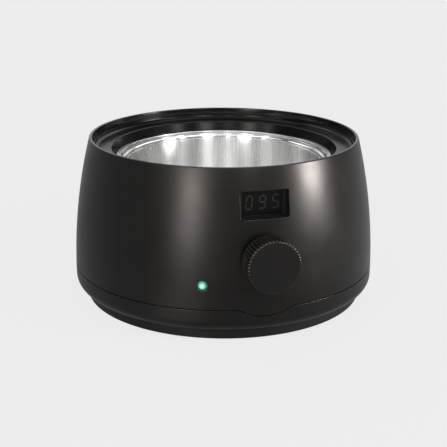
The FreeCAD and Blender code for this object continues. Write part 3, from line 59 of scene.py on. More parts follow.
# Body form, from the frame and from the radii that its side is drawn with
SHELL_LOW, SHELL_HIGH = node_box("upper_shell")
KNOB_LOW, KNOB_HIGH = node_box("control_knob")
MODULE_LOW, MODULE_HIGH = node_box("display_module")
LAMP_LOW, LAMP_HIGH = node_box("indicator_led")
INLET_LOW, INLET_HIGH = node_box("inlet_body")
BODY_RADIUS = SHELL_HIGH.x
RIM_Z = SHELL_HIGH.z
SIDE_ARC = 313.0
BELLY_Z = 18.0
CORNER_RADIUS = 7.0
CORNER_Z = 14.5
WALL = 2.4
RIM_ROUND = 0.45
RIM_WIDTH = 1.65
SEAT_Z = 86.3
BORE_Z = 87.1
FLANGE_Z = node_box("lower_shell")[0].z
FLANGE_INNER = 80.0
FLANGE_BEVEL = 0.25

# Seam between the two shells, with its tongue under the knob and the lip behind it
SEAM_Z = 21.0
SEAM_GAP = 0.4
SEAM_ROUND = 0.22
KNOB_Z = (KNOB_LOW.z + KNOB_HIGH.z) / 2
TONGUE_RADIUS = KNOB_Z - SHELL_LOW.z
TONGUE_BLEND = 3.0
LIP_OUTER = BODY_RADIUS - WALL - 0.2
LIP_INNER = LIP_OUTER - 1.3
LIP_ROOT_Z = 15.0
LIP_FOOT_Z = CORNER_Z - 1.0
LIP_TOP_Z = SEAM_Z + 3.6
LIP_ROUND = 0.4

# Openings of the upper shell
HOLE_ROUND = 0.3
WINDOW_WIDTH = 27.0
WINDOW_HEIGHT = 14.7
WINDOW_CORNER = 1.2
WINDOW_Z = (MODULE_LOW.z + MODULE_HIGH.z) / 2
SPOT_RADIUS = 8.0
SPOT_DEPTH = 1.3
BUSHING_HOLE = 3.9
LAMP_ANGLE = -22.5
LAMP_Z = (LAMP_LOW.z + LAMP_HIGH.z) / 2
LAMP_HOLE = 3.05
INLET_Z = (INLET_LOW.z + INLET_HIGH.z) / 2
INLET_FIT = 0.2
FLANGE_WIDTH = INLET_HIGH.x - INLET_LOW.x
FLANGE_HEIGHT = 16.5
FLANGE_DEPTH = 1.6
FLANGE_CORNER = 1.8
SOCKET_BODY_WIDTH = 21.0
SOCKET_BODY_HEIGHT = 12.6
INLET_PLANE = INLET_HIGH.y - FLANGE_DEPTH

# Knob
KNOB_RADIUS = (KNOB_HIGH.x - KNOB_LOW.x) / 2
KNOB_BACK = -KNOB_HIGH.y
KNOB_FRONT = -KNOB_LOW.y
KNOB_FLUTES = 48
FLUTE_DEPTH = 0.65
FLUTE_SHARE = 0.76
FLUTE_FADE = 0.7
KNOB_EDGE = 1.1
KNOB_BACK_ROUND = 0.3
KNOB_CAVITY_ROUND = 0.8
KNOB_SKIN = 2.3
KNOB_FACE = 2.4
HUB_RADIUS = 5.6
HUB_BORE = 3.03
HUB_END = 4.35

# Loose pot, with a step at its shoulder under a lip that curls outwards
POT_LOW, POT_HIGH = node_box("wax_pot")
POT_LIP = POT_HIGH.x
POT_INNER = 58.0
POT_SHEET = 1.0
POT_CORNER = 4.0
POT_SHOULDER = POT_HIGH.z - 2.2
POT_EDGE = 0.22
POT_FLARE_START = (0.35, 0.9)
POT_FLARE_END = (0.25, 1.35)
POT_EDGE_FOOT = 1.1
POT_STEP = 0.45
POT_STEP_RISE = 0.3
POT_STEP_CREST = (0.4, 0.22)
POT_STEP_ROUND = 0.28
POT_STEP_DROP = 0.1
CURL_SWEEP = 84.0
CURL_POWER = 0.55

# Fineness of the meshes: distances between rows and columns, and steps of arcs
COLUMN_STEP = 1.0
FINE_STEP = 0.25
FINE_REACH = 12.0
ROW_STEP = 4.0
FIRST_ROW = 3.0
PATCH_MARGIN = 1.2
ARC_STEPS = 4
ROUND_STEPS = 3
CORNER_STEPS = 10
BEND_STEPS = 6
RECTANGLE_STEPS = 6
CIRCLE_STEPS = 72
LAMP_HOLE_STEPS = 48
FLUTE_STEPS = 12
KNOB_EDGE_STEPS = 8
POT_CORNER_STEPS = 8
POT_COLUMNS = 240
CURL_STEPS = 12
SLACK = 1e-6

# Rows of the meshes where nothing bends: shares of the way along, radii or heights
UPPER_SHARES = (0.2, 0.5)
LOWER_SHARES = (0.3, 0.65)
KNOB_SHARES = (0.35, 0.7)
KNOB_FACE_RADII = (13.2, 11.0, 7.0, 3.0, 0.6)
POT_FLOOR_RADII = (0.8, 15.0, 35.0, 48.0)
POT_OUTER_ROWS = (42.0, 55.0, 68.0, POT_SHOULDER - 1.4)
POT_INNER_ROWS = (78.0, 72.0, 64.0, 54.0, 44.0, 36.0)


def side_radius(z, inset=0.0):
    """Radius of the body's side at height z, or of a surface that far inside it."""
    arc = SIDE_ARC - inset
    rise = max(z - BELLY_Z, 0.0)
    return BODY_RADIUS - SIDE_ARC + math.sqrt(arc * arc - rise * rise)


def inner_radius(z):
    """Radius of the upper shell's inner surface, which is bored for the top ring near the rim."""
    if z <= SEAT_Z:
        return side_radius(z, WALL)
    seat = side_radius(SEAT_Z, WALL)
    bore = side_radius(RIM_Z) - RIM_WIDTH
    return seat + (bore - seat) * min((z - SEAT_Z) / (BORE_Z - SEAT_Z), 1.0)


def around(radius, angle, z):
    """The point at a radius, an angle from the front and a height."""
    turn = math.radians(angle)
    return Vector((radius * math.sin(turn), -radius * math.cos(turn), z))


def seam_height(x, gap):
    """Height of the seam's edge over x at the front, where the tongue dips under the knob."""
    level = SEAM_Z - gap
    radius = TONGUE_RADIUS + gap
    blend = TONGUE_BLEND - gap
    blend_z = level - blend
    blend_x = math.sqrt((radius + blend) ** 2 - (KNOB_Z - blend_z) ** 2)
    touch_x = blend_x * radius / (radius + blend)
    x = abs(x)
    if x >= blend_x:
        return level
    if x >= touch_x:
        return blend_z + math.sqrt(blend ** 2 - (blend_x - x) ** 2)
    return KNOB_Z - math.sqrt(radius ** 2 - x ** 2)


def seam_edge(angle, gap, inset):
    """Height of a seam edge on the surface that lies that far inside the body's side."""
    if abs(angle) > 90:
        return SEAM_Z - gap
    return seam_height(side_radius(SEAM_Z, inset) * math.sin(math.radians(angle)), gap)


def skin_normal(point):
    """Outward direction of the body's outer surface at a point on it."""
    outward = Vector((point.x, point.y, 0)).normalized()
    if point.z >= BELLY_Z:
        tilt = math.asin(min((point.z - BELLY_Z) / SIDE_ARC, 1.0))
    elif point.z >= CORNER_Z:
        tilt = 0.0
    else:
        tilt = -math.asin(min((CORNER_Z - point.z) / CORNER_RADIUS, 1.0))
    return outward * math.cos(tilt) + Vector((0, 0, math.sin(tilt)))


def arc_points(centre_a, centre_b, radius, start, end, steps=ARC_STEPS):
    """Points of an arc in a plane, from one angle to another in degrees, ends included."""
    points = []
    for i in range(steps + 1):
        turn = math.radians(start + (end - start) * i / steps)
        points.append((centre_a + radius * math.cos(turn), centre_b + radius * math.sin(turn)))
    return points


def rounded_rectangle(width, height, corner):
    """Outline about zero of a rectangle with rounded corners, in steps of about 1 mm."""
    points = []
    a, b = width / 2 - corner, height / 2 - corner
    for sign_a, sign_b, start in ((1, -1, -90), (1, 1, 0), (-1, 1, 90), (-1, -1, 180)):
        points += arc_points(sign_a * a, sign_b * b, corner, start, start + 90, RECTANGLE_STEPS)
    dense = []
    for here, there in zip(points, points[1:] + points[:1]):
        pieces = max(1, round(math.dist(here, there)))
        for i in range(pieces):
            dense.append(tuple(p + (q - p) * (i / pieces) for p, q in zip(here, there)))
    return dense


def circle(radius, count=CIRCLE_STEPS):
    """Outline of a circle about zero, anticlockwise."""
    return arc_points(0, 0, radius, 0, 360, count)[:-1]


class Mesh:
    """Collects the vertices and faces of one piece, in millimetres."""

    def __init__(self):
        self.points = []
        self.faces = []
        self.skin = set()

    def loop(self, points):
        """Adds points and gives their numbers."""
        first = len(self.points)
        self.points.extend(Vector(p) for p in points)
        return list(range(first, len(self.points)))

    def column(self, angle, profile):
        """Adds a profile of radii and heights at an angle round the axis."""
        return self.loop(around(radius, angle, z) for radius, z in profile)

    def face(self, corners, skin=False):
        """Adds one face."""
        if skin:
            self.skin.add(len(self.faces))
        self.faces.append(tuple(corners))

    def bridge(self, near, far):
        """Joins two closed loops of the same length with quads."""
        for i in range(len(near)):
            j = (i + 1) % len(near)
            self.face((near[i], near[j], far[j], far[i]))

    def tube(self, loops):
        """Joins closed loops one after the other."""
        for near, far in zip(loops, loops[1:]):
            self.bridge(near, far)

    def zip_loops(self, outer, inner, place, skin):
        """Joins two closed loops of different lengths round one centre with triangles."""
        def turn(number):
            a, b = place(self.points[number])
            return math.atan2(b, a) % (2 * math.pi)

        def from_lowest(loop):
            start = min(range(len(loop)), key=lambda i: turn(loop[i]))
            ordered = loop[start:] + loop[:start]
            if turn(ordered[1]) > turn(ordered[-1]):
                ordered = ordered[:1] + ordered[1:][::-1]
            return ordered

        def turn_after(loop, i):
            return turn(loop[(i + 1) % len(loop)]) + (2 * math.pi if i + 1 >= len(loop) else 0)

        first, second = from_lowest(outer), from_lowest(inner)
        i = j = 0
        while i < len(first) or j < len(second):
            here, there = first[i % len(first)], second[j % len(second)]
            sooner = turn_after(first, i) <= turn_after(second, j)
            if j >= len(second) or (i < len(first) and sooner):
                i += 1
                self.face((here, first[i % len(first)], there), skin)
            else:
                j += 1
                self.face((here, second[j % len(second)], there), skin)

    def build(self, name, crease=35.0):
        """Makes the Blender object, with outward normals and edges sharp beyond the crease."""
        data = bpy.data.meshes.new(name)
        data.from_pydata([p * MM for p in self.points], [], self.faces)
        piece = bpy.data.objects.new(name, data)
        bpy.context.scene.collection.objects.link(piece)
        data.validate()
        turn_outwards(data)
        data.polygons.foreach_set("use_smooth", [True] * len(data.polygons))
        data.set_sharp_from_angle(angle=math.radians(crease))
        if self.skin:
            self.smooth_skin(data)
        return piece

    def smooth_skin(self, data):
        """Gives the outer skin's corners the exact normals of its surface."""
        normals = [Vector(c.vector) for c in data.corner_normals]
        for number in self.skin:
            for corner in data.polygons[number].loop_indices:
                point = data.vertices[data.loops[corner].vertex_index].co / MM
                normals[corner] = skin_normal(point)
        data.normals_split_custom_set(normals)


def turn_outwards(data):
    """Makes all faces of a closed mesh point outwards."""
    work = bmesh.new()
    work.from_mesh(data)
    bmesh.ops.recalc_face_normals(work, faces=work.faces)
    work.to_mesh(data)
    work.free()


def finish_piece(piece, material, body, replaced):
    """Gives a piece its material and its body, and hides the CAD nodes that it stands for."""
    piece.data.materials.append(material)
    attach(piece, body)
    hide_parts(*replaced)


def columns():
    """Angles of the mesh's columns round the body, finer at the front."""
    angles = []
    angle = -180.0
    while angle < 180.0 - SLACK:
        angles.append(angle)
        angle += FINE_STEP if -FINE_REACH <= angle + SLACK < FINE_REACH else COLUMN_STEP
    return angles


def shell_rows():
    """Heights of the upper shell's rows above the seam's dip, up to where the rim turns in."""
    heights = []
    for low, high in ((SEAM_Z + FIRST_ROW, SEAT_Z), (BORE_Z, RIM_Z - RIM_ROUND)):
        count = round((high - low) / ROW_STEP)
        heights += [low + (high - low) * i / count for i in range(count + 1)]
    return heights


def seam_side(start, turn, end, shares):
    """Radii and heights from a rounded seam edge along the outer side, towards the height end.

    The centre of the rounding is at the height start, and its arc begins at the angle turn.
    """
    profile = []
    for a, b in arc_points(0, 0, SEAM_ROUND, turn, 0):
        z = start + b
        profile.append((side_radius(z) - SEAM_ROUND + a, z))
    for share in shares:
        z = start + (end - start) * share
        profile.append((side_radius(z), z))
    return profile


def edge_loops(outline, z):
    """Loops of the rounded edge of an opening at the front, from the skin inwards along Y.

    The outline is a function of how far it is grown, and z is the height of its middle.
    """
    loops = []
    for i in range(ARC_STEPS + 1):
        turn = math.radians(90.0 * i / ARC_STEPS)
        depth = HOLE_ROUND * (1 - math.cos(turn))
        points = []
        for a, b in outline(HOLE_ROUND * (1 - math.sin(turn))):
            points.append(Vector((a, -math.sqrt(side_radius(z + b) ** 2 - a ** 2) + depth, z + b)))
        loops.append(points)
    return loops


def plane_loop(outline, z, distance):
    """The loop of such an opening in the upright plane at that distance in front of the axis."""
    return [Vector((a, -distance, z + b)) for a, b in outline(0)]


def on_inner(points):
    """Points moved along Y onto the shell's inner surface."""
    return [Vector((p.x, -math.sqrt(side_radius(p.z, WALL) ** 2 - p.x ** 2), p.z)) for p in points]


def turned(loops, angle):
    """Loops of an opening at the front, turned round the body's axis."""
    spin = Matrix.Rotation(math.radians(angle), 3, "Z")
    return [[spin @ p for p in loop] for loop in loops]


def shell_openings():
    """The upper shell's openings: direction, height, half sizes and loops from skin to inside."""
    def window(grow):
        width, height = WINDOW_WIDTH + 2 * grow, WINDOW_HEIGHT + 2 * grow
        return rounded_rectangle(width, height, WINDOW_CORNER + grow)

    def spot(grow):
        return circle(SPOT_RADIUS + grow)

    def bushing(grow):
        return circle(BUSHING_HOLE + grow)

    def lamp(grow):
        return circle(LAMP_HOLE + grow, LAMP_HOLE_STEPS)

    def recess(grow):
        width, height = FLANGE_WIDTH + 2 * INLET_FIT, FLANGE_HEIGHT + 2 * INLET_FIT
        corner = FLANGE_CORNER + INLET_FIT
        return rounded_rectangle(width + 2 * grow, height + 2 * grow, corner + grow)

    window_loops = edge_loops(window, WINDOW_Z)
    window_loops.append(on_inner(window_loops[-1]))

    floor = side_radius(KNOB_Z) - SPOT_DEPTH
    spot_loops = edge_loops(spot, KNOB_Z)
    spot_loops += [plane_loop(spot, KNOB_Z, floor), plane_loop(bushing, KNOB_Z, floor)]
    spot_loops.append(on_inner(spot_loops[-1]))

    lamp_loops = edge_loops(lamp, LAMP_Z)
    lamp_loops.append(on_inner(lamp_loops[-1]))

    inlet_loops = edge_loops(recess, INLET_Z)
    inlet_loops.append(plane_loop(recess, INLET_Z, INLET_PLANE))
    share_a = (SOCKET_BODY_WIDTH / 2 + INLET_FIT) / (FLANGE_WIDTH / 2 + INLET_FIT)
    share_b = (SOCKET_BODY_HEIGHT / 2 + INLET_FIT) / (FLANGE_HEIGHT / 2 + INLET_FIT)
    throat = [Vector((p.x * share_a, p.y, INLET_Z + (p.z - INLET_Z) * share_b))
              for p in inlet_loops[-1]]
    inlet_loops += [throat, on_inner(throat)]

    return [
        (0.0, WINDOW_Z, WINDOW_WIDTH / 2, WINDOW_HEIGHT / 2, window_loops),
        (0.0, KNOB_Z, SPOT_RADIUS, SPOT_RADIUS, spot_loops),
        (LAMP_ANGLE, LAMP_Z, LAMP_HOLE, LAMP_HOLE, turned(lamp_loops, LAMP_ANGLE)),
        (180.0, INLET_Z, FLANGE_WIDTH / 2, FLANGE_HEIGHT / 2, turned(inlet_loops, 180.0)),
    ]


def patch_range(values, centre, reach, period=None):
    """First and last number of the lines that lie just outside an opening."""
    def away(i):
        gap = values[i] - centre
        if period:
            gap = (gap + period / 2) % period - period / 2
        return gap

    numbers = range(len(values))
    first = max((i for i in numbers if away(i) < -reach), key=away)
    last = min((i for i in numbers if away(i) > reach), key=away)
    return first, last


def make_upper_shell(material):
    """Upper shell: skin, rounded rim, inner surface, seam edge and openings."""
    mesh = Mesh()
    angles = columns()
    heights = shell_rows()
    round_z = RIM_Z - RIM_ROUND
    outer_rim = arc_points(side_radius(RIM_Z) - RIM_ROUND, round_z, RIM_ROUND, 0, 90)[1:]
    inner_rim = arc_points(inner_radius(RIM_Z) + RIM_ROUND, round_z, RIM_ROUND, 180, 90)[1:]
    outer_rows = [(side_radius(z), z) for z in heights] + outer_rim
    inner_rows = [(inner_radius(z), z) for z in heights] + inner_rim
    outside, inside = [], []
    for angle in angles:
        start = seam_edge(angle, 0.0, 0.0) + SEAM_ROUND
        outer_foot = seam_side(start, -90, heights[0], UPPER_SHARES)
        outside.append(mesh.column(angle, outer_foot + outer_rows))
        edge = seam_edge(angle, 0.0, WALL)
        inner_foot = [(side_radius(edge, WALL), edge)]
        inside.append(mesh.column(angle, inner_foot + inner_rows))
    sheets = ((outside, len(outer_foot), True), (inside, len(inner_foot), False))

    patches = []
    for direction, z, half_width, half_height, loops in shell_openings():
        reach = math.degrees(math.asin((half_width + PATCH_MARGIN) / side_radius(z)))
        first, last = patch_range(angles, direction, reach, 360.0)
        low, high = patch_range(heights, z, half_height + PATCH_MARGIN)
        patches.append((first, last, low, high, loops, direction, z))

    def in_patch(column, row):
        for first, last, low, high, *_ in patches:
            span = (last - first) % len(angles)
            if (column - first) % len(angles) < span and low <= row < high:
                return True
        return False

    for sheet, foot, skin in sheets:
        for column in range(len(angles)):
            near, far = sheet[column], sheet[(column + 1) % len(angles)]
            for i in range(len(near) - 1):
                row = i - foot
                if 0 <= row < len(heights) - 1 and in_patch(column, row):
                    continue
                on_side = skin and i >= ARC_STEPS and row < len(heights) - 1
                mesh.face((near[i], far[i], far[i + 1], near[i + 1]), on_side)
    for column in range(len(angles)):
        following = (column + 1) % len(angles)
        for end in (0, -1):
            mesh.face((outside[column][end], outside[following][end],
                       inside[following][end], inside[column][end]))

    for first, last, low, high, loops, direction, z in patches:
        def place(point, middle=math.radians(direction), z=z):
            turn = math.atan2(point.x, -point.y) - middle
            turn = (turn + math.pi) % (2 * math.pi) - math.pi
            return turn * BODY_RADIUS, point.z - z

        span = (last - first) % len(angles)
        numbers = [mesh.loop(loop) for loop in loops]
        for (sheet, foot, skin), ring in zip(sheets, (numbers[0], numbers[-1])):
            border = [sheet[(first + i) % len(angles)][foot + low] for i in range(span)]
            border += [sheet[last][foot + i] for i in range(low, high)]
            border += [sheet[(last - i) % len(angles)][foot + high] for i in range(span)]
            border += [sheet[first][foot + i] for i in range(high, low, -1)]
            mesh.zip_loops(border, ring, place, skin)
        mesh.tube(numbers)
    piece = mesh.build("upper_shell_skin")
    finish_piece(piece, material, "body", ["upper_shell"])


def make_lower_shell(material):
    """Lower band: side, rounded corner, flange over the base ring and the guiding lip."""
    mesh = Mesh()
    centre = BODY_RADIUS - CORNER_RADIUS
    inner_bend = CORNER_RADIUS - WALL
    inner_foot = FLANGE_Z + WALL
    foot_turn = -math.degrees(math.asin((CORNER_Z - FLANGE_Z) / CORNER_RADIUS))
    inner_turn = -math.degrees(math.asin((CORNER_Z - inner_foot) / inner_bend))
    corner = arc_points(centre, CORNER_Z, CORNER_RADIUS, 0, foot_turn, CORNER_STEPS)
    flange = [(corner[-1][0] - FLANGE_BEVEL, FLANGE_Z), (FLANGE_INNER, FLANGE_Z),
              (FLANGE_INNER, inner_foot)]
    bend = arc_points(centre, CORNER_Z, inner_bend, inner_turn, 0, BEND_STEPS)
    bend = [p for p in bend if p[0] < LIP_INNER]
    round_z = LIP_TOP_Z - LIP_ROUND
    lip = [(LIP_INNER, LIP_FOOT_Z), (LIP_INNER, round_z)]
    lip += arc_points(LIP_INNER + LIP_ROUND, round_z, LIP_ROUND, 180, 90, ROUND_STEPS)[1:]
    lip += arc_points(LIP_OUTER - LIP_ROUND, round_z, LIP_ROUND, 90, 0, ROUND_STEPS)
    lip += [(LIP_OUTER, LIP_ROOT_Z), (BODY_RADIUS - WALL, LIP_ROOT_Z)]
    profiles = []
    for angle in columns():
        start = seam_edge(angle, SEAM_GAP, 0.0) - SEAM_ROUND
        side = seam_side(start, 90, CORNER_Z, LOWER_SHARES)
        edge = seam_edge(angle, SEAM_GAP, WALL)
        profile = side + corner + flange + bend + lip + [(side_radius(edge, WALL), edge)]
        profiles.append(mesh.column(angle, profile))
    skin_rows = range(ARC_STEPS, len(side) + len(corner) - 1)
    for column in range(len(profiles)):
        near, far = profiles[column], profiles[(column + 1) % len(profiles)]
        for i in range(len(near)):
            j = (i + 1) % len(near)
            mesh.face((near[i], far[i], far[j], near[j]), i in skin_rows)
    piece = mesh.build("lower_shell_band")
    finish_piece(piece, material, "body", ["lower_shell"])


def flute(turn):
    """How far the knob's edge is cut in at an angle, for grooves with softly rounded lips."""
    step = 2 * math.pi / KNOB_FLUTES
    offset = (turn + step / 2) % step - step / 2
    share = min(abs(offset) / (step * FLUTE_SHARE / 2), 1.0)
    return FLUTE_DEPTH * (math.cos(share * math.pi) + 1) / 2


def make_knob(material):
    """Hollow fluted knob with its hub."""
    mesh = Mesh()
    count = KNOB_FLUTES * FLUTE_STEPS
    turns = [2 * math.pi * i / count for i in range(count)]

    def ring(radius, depth, cut=0.0):
        points = []
        for turn in turns:
            r = radius - flute(turn) * cut
            points.append((r * math.cos(turn), -depth, KNOB_Z + r * math.sin(turn)))
        return mesh.loop(points)

    edge_depth = KNOB_FRONT - KNOB_EDGE
    bend = KNOB_BACK_ROUND
    side = [ring(r, KNOB_BACK - d, 1.0)
            for r, d in arc_points(KNOB_RADIUS - bend, -bend, bend, 90, 0, ROUND_STEPS)]
    side += [ring(KNOB_RADIUS, KNOB_BACK + (edge_depth - KNOB_BACK) * share, 1.0)
             for share in KNOB_SHARES]
    for step in range(KNOB_EDGE_STEPS + 1):
        turn = math.radians(90.0 * step / KNOB_EDGE_STEPS)
        side.append(ring(KNOB_RADIUS - KNOB_EDGE + KNOB_EDGE * math.cos(turn),
                         edge_depth + KNOB_EDGE * math.sin(turn), math.cos(turn) ** FLUTE_FADE))
    side += [ring(r, KNOB_FRONT) for r in KNOB_FACE_RADII]
    mesh.tube(side)
    mesh.face(side[-1])

    cavity = KNOB_RADIUS - KNOB_SKIN
    roof = KNOB_FRONT - KNOB_FACE
    hub_end = KNOB_BACK + HUB_END
    bend = KNOB_CAVITY_ROUND
    path = [(cavity, KNOB_BACK + KNOB_BACK_ROUND / 2)]
    path += arc_points(cavity - bend, roof - bend, bend, 0, 90)
    path += [(HUB_RADIUS, roof), (HUB_RADIUS, hub_end), (HUB_BORE, hub_end), (HUB_BORE, roof)]
    under = [ring(radius, depth) for radius, depth in path]
    mesh.bridge(side[0], under[0])
    mesh.tube(under)
    mesh.face(under[-1])
    piece = mesh.build("knob_moulding", 40.0)
    finish_piece(piece, material, "knob", ["control_knob"])


def make_pot(material):
    """Loose pot: spun cup with a small step and a lip that curls outwards."""
    mesh = Mesh()
    outer, floor = POT_INNER + POT_SHEET, POT_LOW.z + POT_SHEET
    low, lip_z = POT_LOW.z, POT_HIGH.z
    bend = POT_CORNER + POT_SHEET
    step_z = POT_SHOULDER + POT_STEP_RISE
    # Underside and outer wall
    profile = [(r, low) for r in POT_FLOOR_RADII]
    profile += arc_points(outer - bend, low + bend, bend, -90, 0, POT_CORNER_STEPS)
    profile += [(outer, z) for z in POT_OUTER_ROWS]
    # Flare under the lip, and the lip's edge
    across, down = POT_FLARE_START
    profile.append((outer + across, POT_SHOULDER - down))
    across, down = POT_FLARE_END
    profile.append((POT_LIP - across, lip_z - down))
    profile.append((POT_LIP, lip_z - POT_EDGE_FOOT))
    profile += arc_points(POT_LIP - POT_EDGE, lip_z - POT_EDGE, POT_EDGE, 0, 90)
    # Curl of the lip, down to the step
    reach, rise = POT_LIP - POT_EDGE - (POT_INNER + POT_STEP), lip_z - step_z
    for i in range(1, CURL_STEPS + 1):
        turn = math.radians(90.0 - CURL_SWEEP * i / CURL_STEPS)
        profile.append((POT_LIP - POT_EDGE - reach * math.cos(turn),
                        step_z + rise * math.sin(turn) ** CURL_POWER))
    across, up = POT_STEP_CREST
    profile.append((POT_INNER + across, POT_SHOULDER + up))
    profile += arc_points(POT_INNER + POT_STEP_ROUND, POT_SHOULDER - POT_STEP_DROP,
                          POT_STEP_ROUND, 90, 180)
    # Inner wall and floor
    profile += [(POT_INNER, z) for z in POT_INNER_ROWS]
    profile += arc_points(POT_INNER - POT_CORNER, floor + POT_CORNER, POT_CORNER, 0, -90,
                          POT_CORNER_STEPS)
    profile += [(r, floor) for r in POT_FLOOR_RADII[::-1]]
    loops = [mesh.loop(around(r, 360.0 / POT_COLUMNS * i, z) for i in range(POT_COLUMNS))
             for r, z in profile]
    mesh.tube(loops)
    mesh.face(loops[0])
    mesh.face(loops[-1])
    piece = mesh.build("wax_pot_spun", 30.0)
    finish_piece(piece, material, "pot", ["wax_pot"])


class Nodes:
    """Helpers that add nodes to a tree."""

    def __init__(self, tree):
        self.tree = tree

    def node(self, kind, **settings):
        """Adds a node with those settings of its own."""
        made = self.tree.nodes.new(kind)
        for key, value in settings.items():
            setattr(made, key, value)
        return made

    def feed(self, socket, value):
        """Gives an input a number, or joins an output to it."""
        if isinstance(value, (int, float)):
            socket.default_value = value
        else:
            self.tree.links.new(value, socket)

    def math(self, operation, a, b=0.0):
        """Arithmetic on two values, either of which may be a number."""
        made = self.node("ShaderNodeMath", operation=operation)
        self.feed(made.inputs[0], a)
        self.feed(made.inputs[1], b)
        return made.outputs[0]

    def spread(self, value, low, high, from_low=0.3, from_high=0.7):
        """A range of a value, by default what a noise covers, spread over another range."""
        made = self.node("ShaderNodeMapRange")
        for socket, number in (("From Min", from_low), ("From Max", from_high),
                               ("To Min", low), ("To Max", high)):
            made.inputs[socket].default_value = number
        self.feed(made.inputs["Value"], value)
        return made.outputs["Result"]

    def split(self, place):
        """The X, Y and Z of a place."""
        made = self.node("ShaderNodeSeparateXYZ")
        self.feed(made.inputs[0], place)
        return made.outputs

    def along(self, place, x, y):
        """How far a place that was split lies along a level direction."""
        return self.math("ADD", self.math("MULTIPLY", place["X"], x),
                         self.math("MULTIPLY", place["Y"], y))

    def length(self, a, b):
        """Length of the diagonal over two values."""
        squares = self.math("ADD", self.math("MULTIPLY", a, a), self.math("MULTIPLY", b, b))
        return self.math("SQRT", squares)

    def rays(self):
        """Whether a ray comes straight from the camera or through glass, and whether it mirrors."""
        kinds = self.node("ShaderNodeLightPath").outputs
        plain = self.math("MAXIMUM", kinds["Is Camera Ray"], kinds["Is Transmission Ray"])
        return plain, kinds["Is Glossy Ray"]


class Finish(Nodes):
    """A procedural material with one shader."""

    def __init__(self, name, colour, metallic=0.0, roughness=0.5):
        self.material = bpy.data.materials.new(name)
        self.material.use_nodes = True
        super().__init__(self.material.node_tree)
        self.shader = self.tree.nodes["Principled BSDF"]
        self.set("Base Color", (*colour, 1))
        self.set("Metallic", metallic)
        self.set("Roughness", roughness)
        self.normal = None

    def set(self, socket, value):
        """Sets a constant of the shader."""
        self.shader.inputs[socket].default_value = value

    def colour_from(self, colour):
        """Sets the base colour from an output."""
        self.feed(self.shader.inputs["Base Color"], colour)

    def roughness_from(self, value):
        """Sets the roughness from an output."""
        self.feed(self.shader.inputs["Roughness"], value)

    def where(self):
        """The place on the object, in metres."""
        return self.node("ShaderNodeTexCoord").outputs["Object"]

    def polar_place(self):
        """The place as (angle round the axis, height, distance from the axis)."""
        place = self.split(self.where())
        angle = self.math("ARCTAN2", place["Y"], place["X"])
        return angle, place["Z"], self.length(place["X"], place["Y"])

    def joined(self, x, y, z):
        """A place made of three values."""
        made = self.node("ShaderNodeCombineXYZ")
        for socket, value in zip(made.inputs, (x, y, z)):
            self.feed(socket, value)
        return made.outputs[0]

    def stretched(self, scale):
        """The place, stretched by a scale along each axis."""
        mapping = self.node("ShaderNodeMapping")
        mapping.inputs["Scale"].default_value = scale
        self.feed(mapping.inputs["Vector"], self.where())
        return mapping.outputs["Vector"]

    def noise(self, size, detail=2.0, place=None, roughness=0.5):
        """Noise whose grains measure about that many millimetres."""
        made = self.node("ShaderNodeTexNoise")
        made.inputs["Scale"].default_value = 1.0 / (size * MM)
        made.inputs["Detail"].default_value = detail
        made.inputs["Roughness"].default_value = roughness
        self.feed(made.inputs["Vector"], place or self.where())
        return made.outputs["Fac"]

    def shades(self, value, *stops):
        """Colours along a value, from (position, colour) stops."""
        ramp = self.node("ShaderNodeValToRGB")
        elements = ramp.color_ramp.elements
        while len(elements) < len(stops):
            elements.new(0.5)
        for element, (position, colour) in zip(elements, stops):
            element.position = position
            element.color = (*colour, 1)
        self.feed(ramp.inputs["Fac"], value)
        return ramp.outputs["Color"]

    def bump(self, height, depth):
        """Adds relief of that many millimetres to the surface."""
        made = self.node("ShaderNodeBump")
        made.inputs["Strength"].default_value = 1.0
        made.inputs["Distance"].default_value = depth * MM
        self.feed(made.inputs["Height"], height)
        if self.normal is not None:
            self.feed(made.inputs["Normal"], self.normal)
        self.normal = made.outputs["Normal"]
        self.feed(self.shader.inputs["Normal"], self.normal)


# Looks that several materials share, and the radii between which the inner side of the rim and the
# pot's lip turn glossier, with the share of the roughness that is left there
BLACK = (0.0011, 0.00105, 0.0010)
PLASTIC_TINT = (1.0, 0.955, 0.925, 1)
RIM_GLOSS_RADII = (78.4, 79.3)
RIM_GLOSS = 0.55
POT_LIP_RADII = (POT_INNER + 0.2, POT_INNER + 0.8)
POT_LIP_GLOSS = 0.5
LAMP_GLOW_RADIUS = 2.5

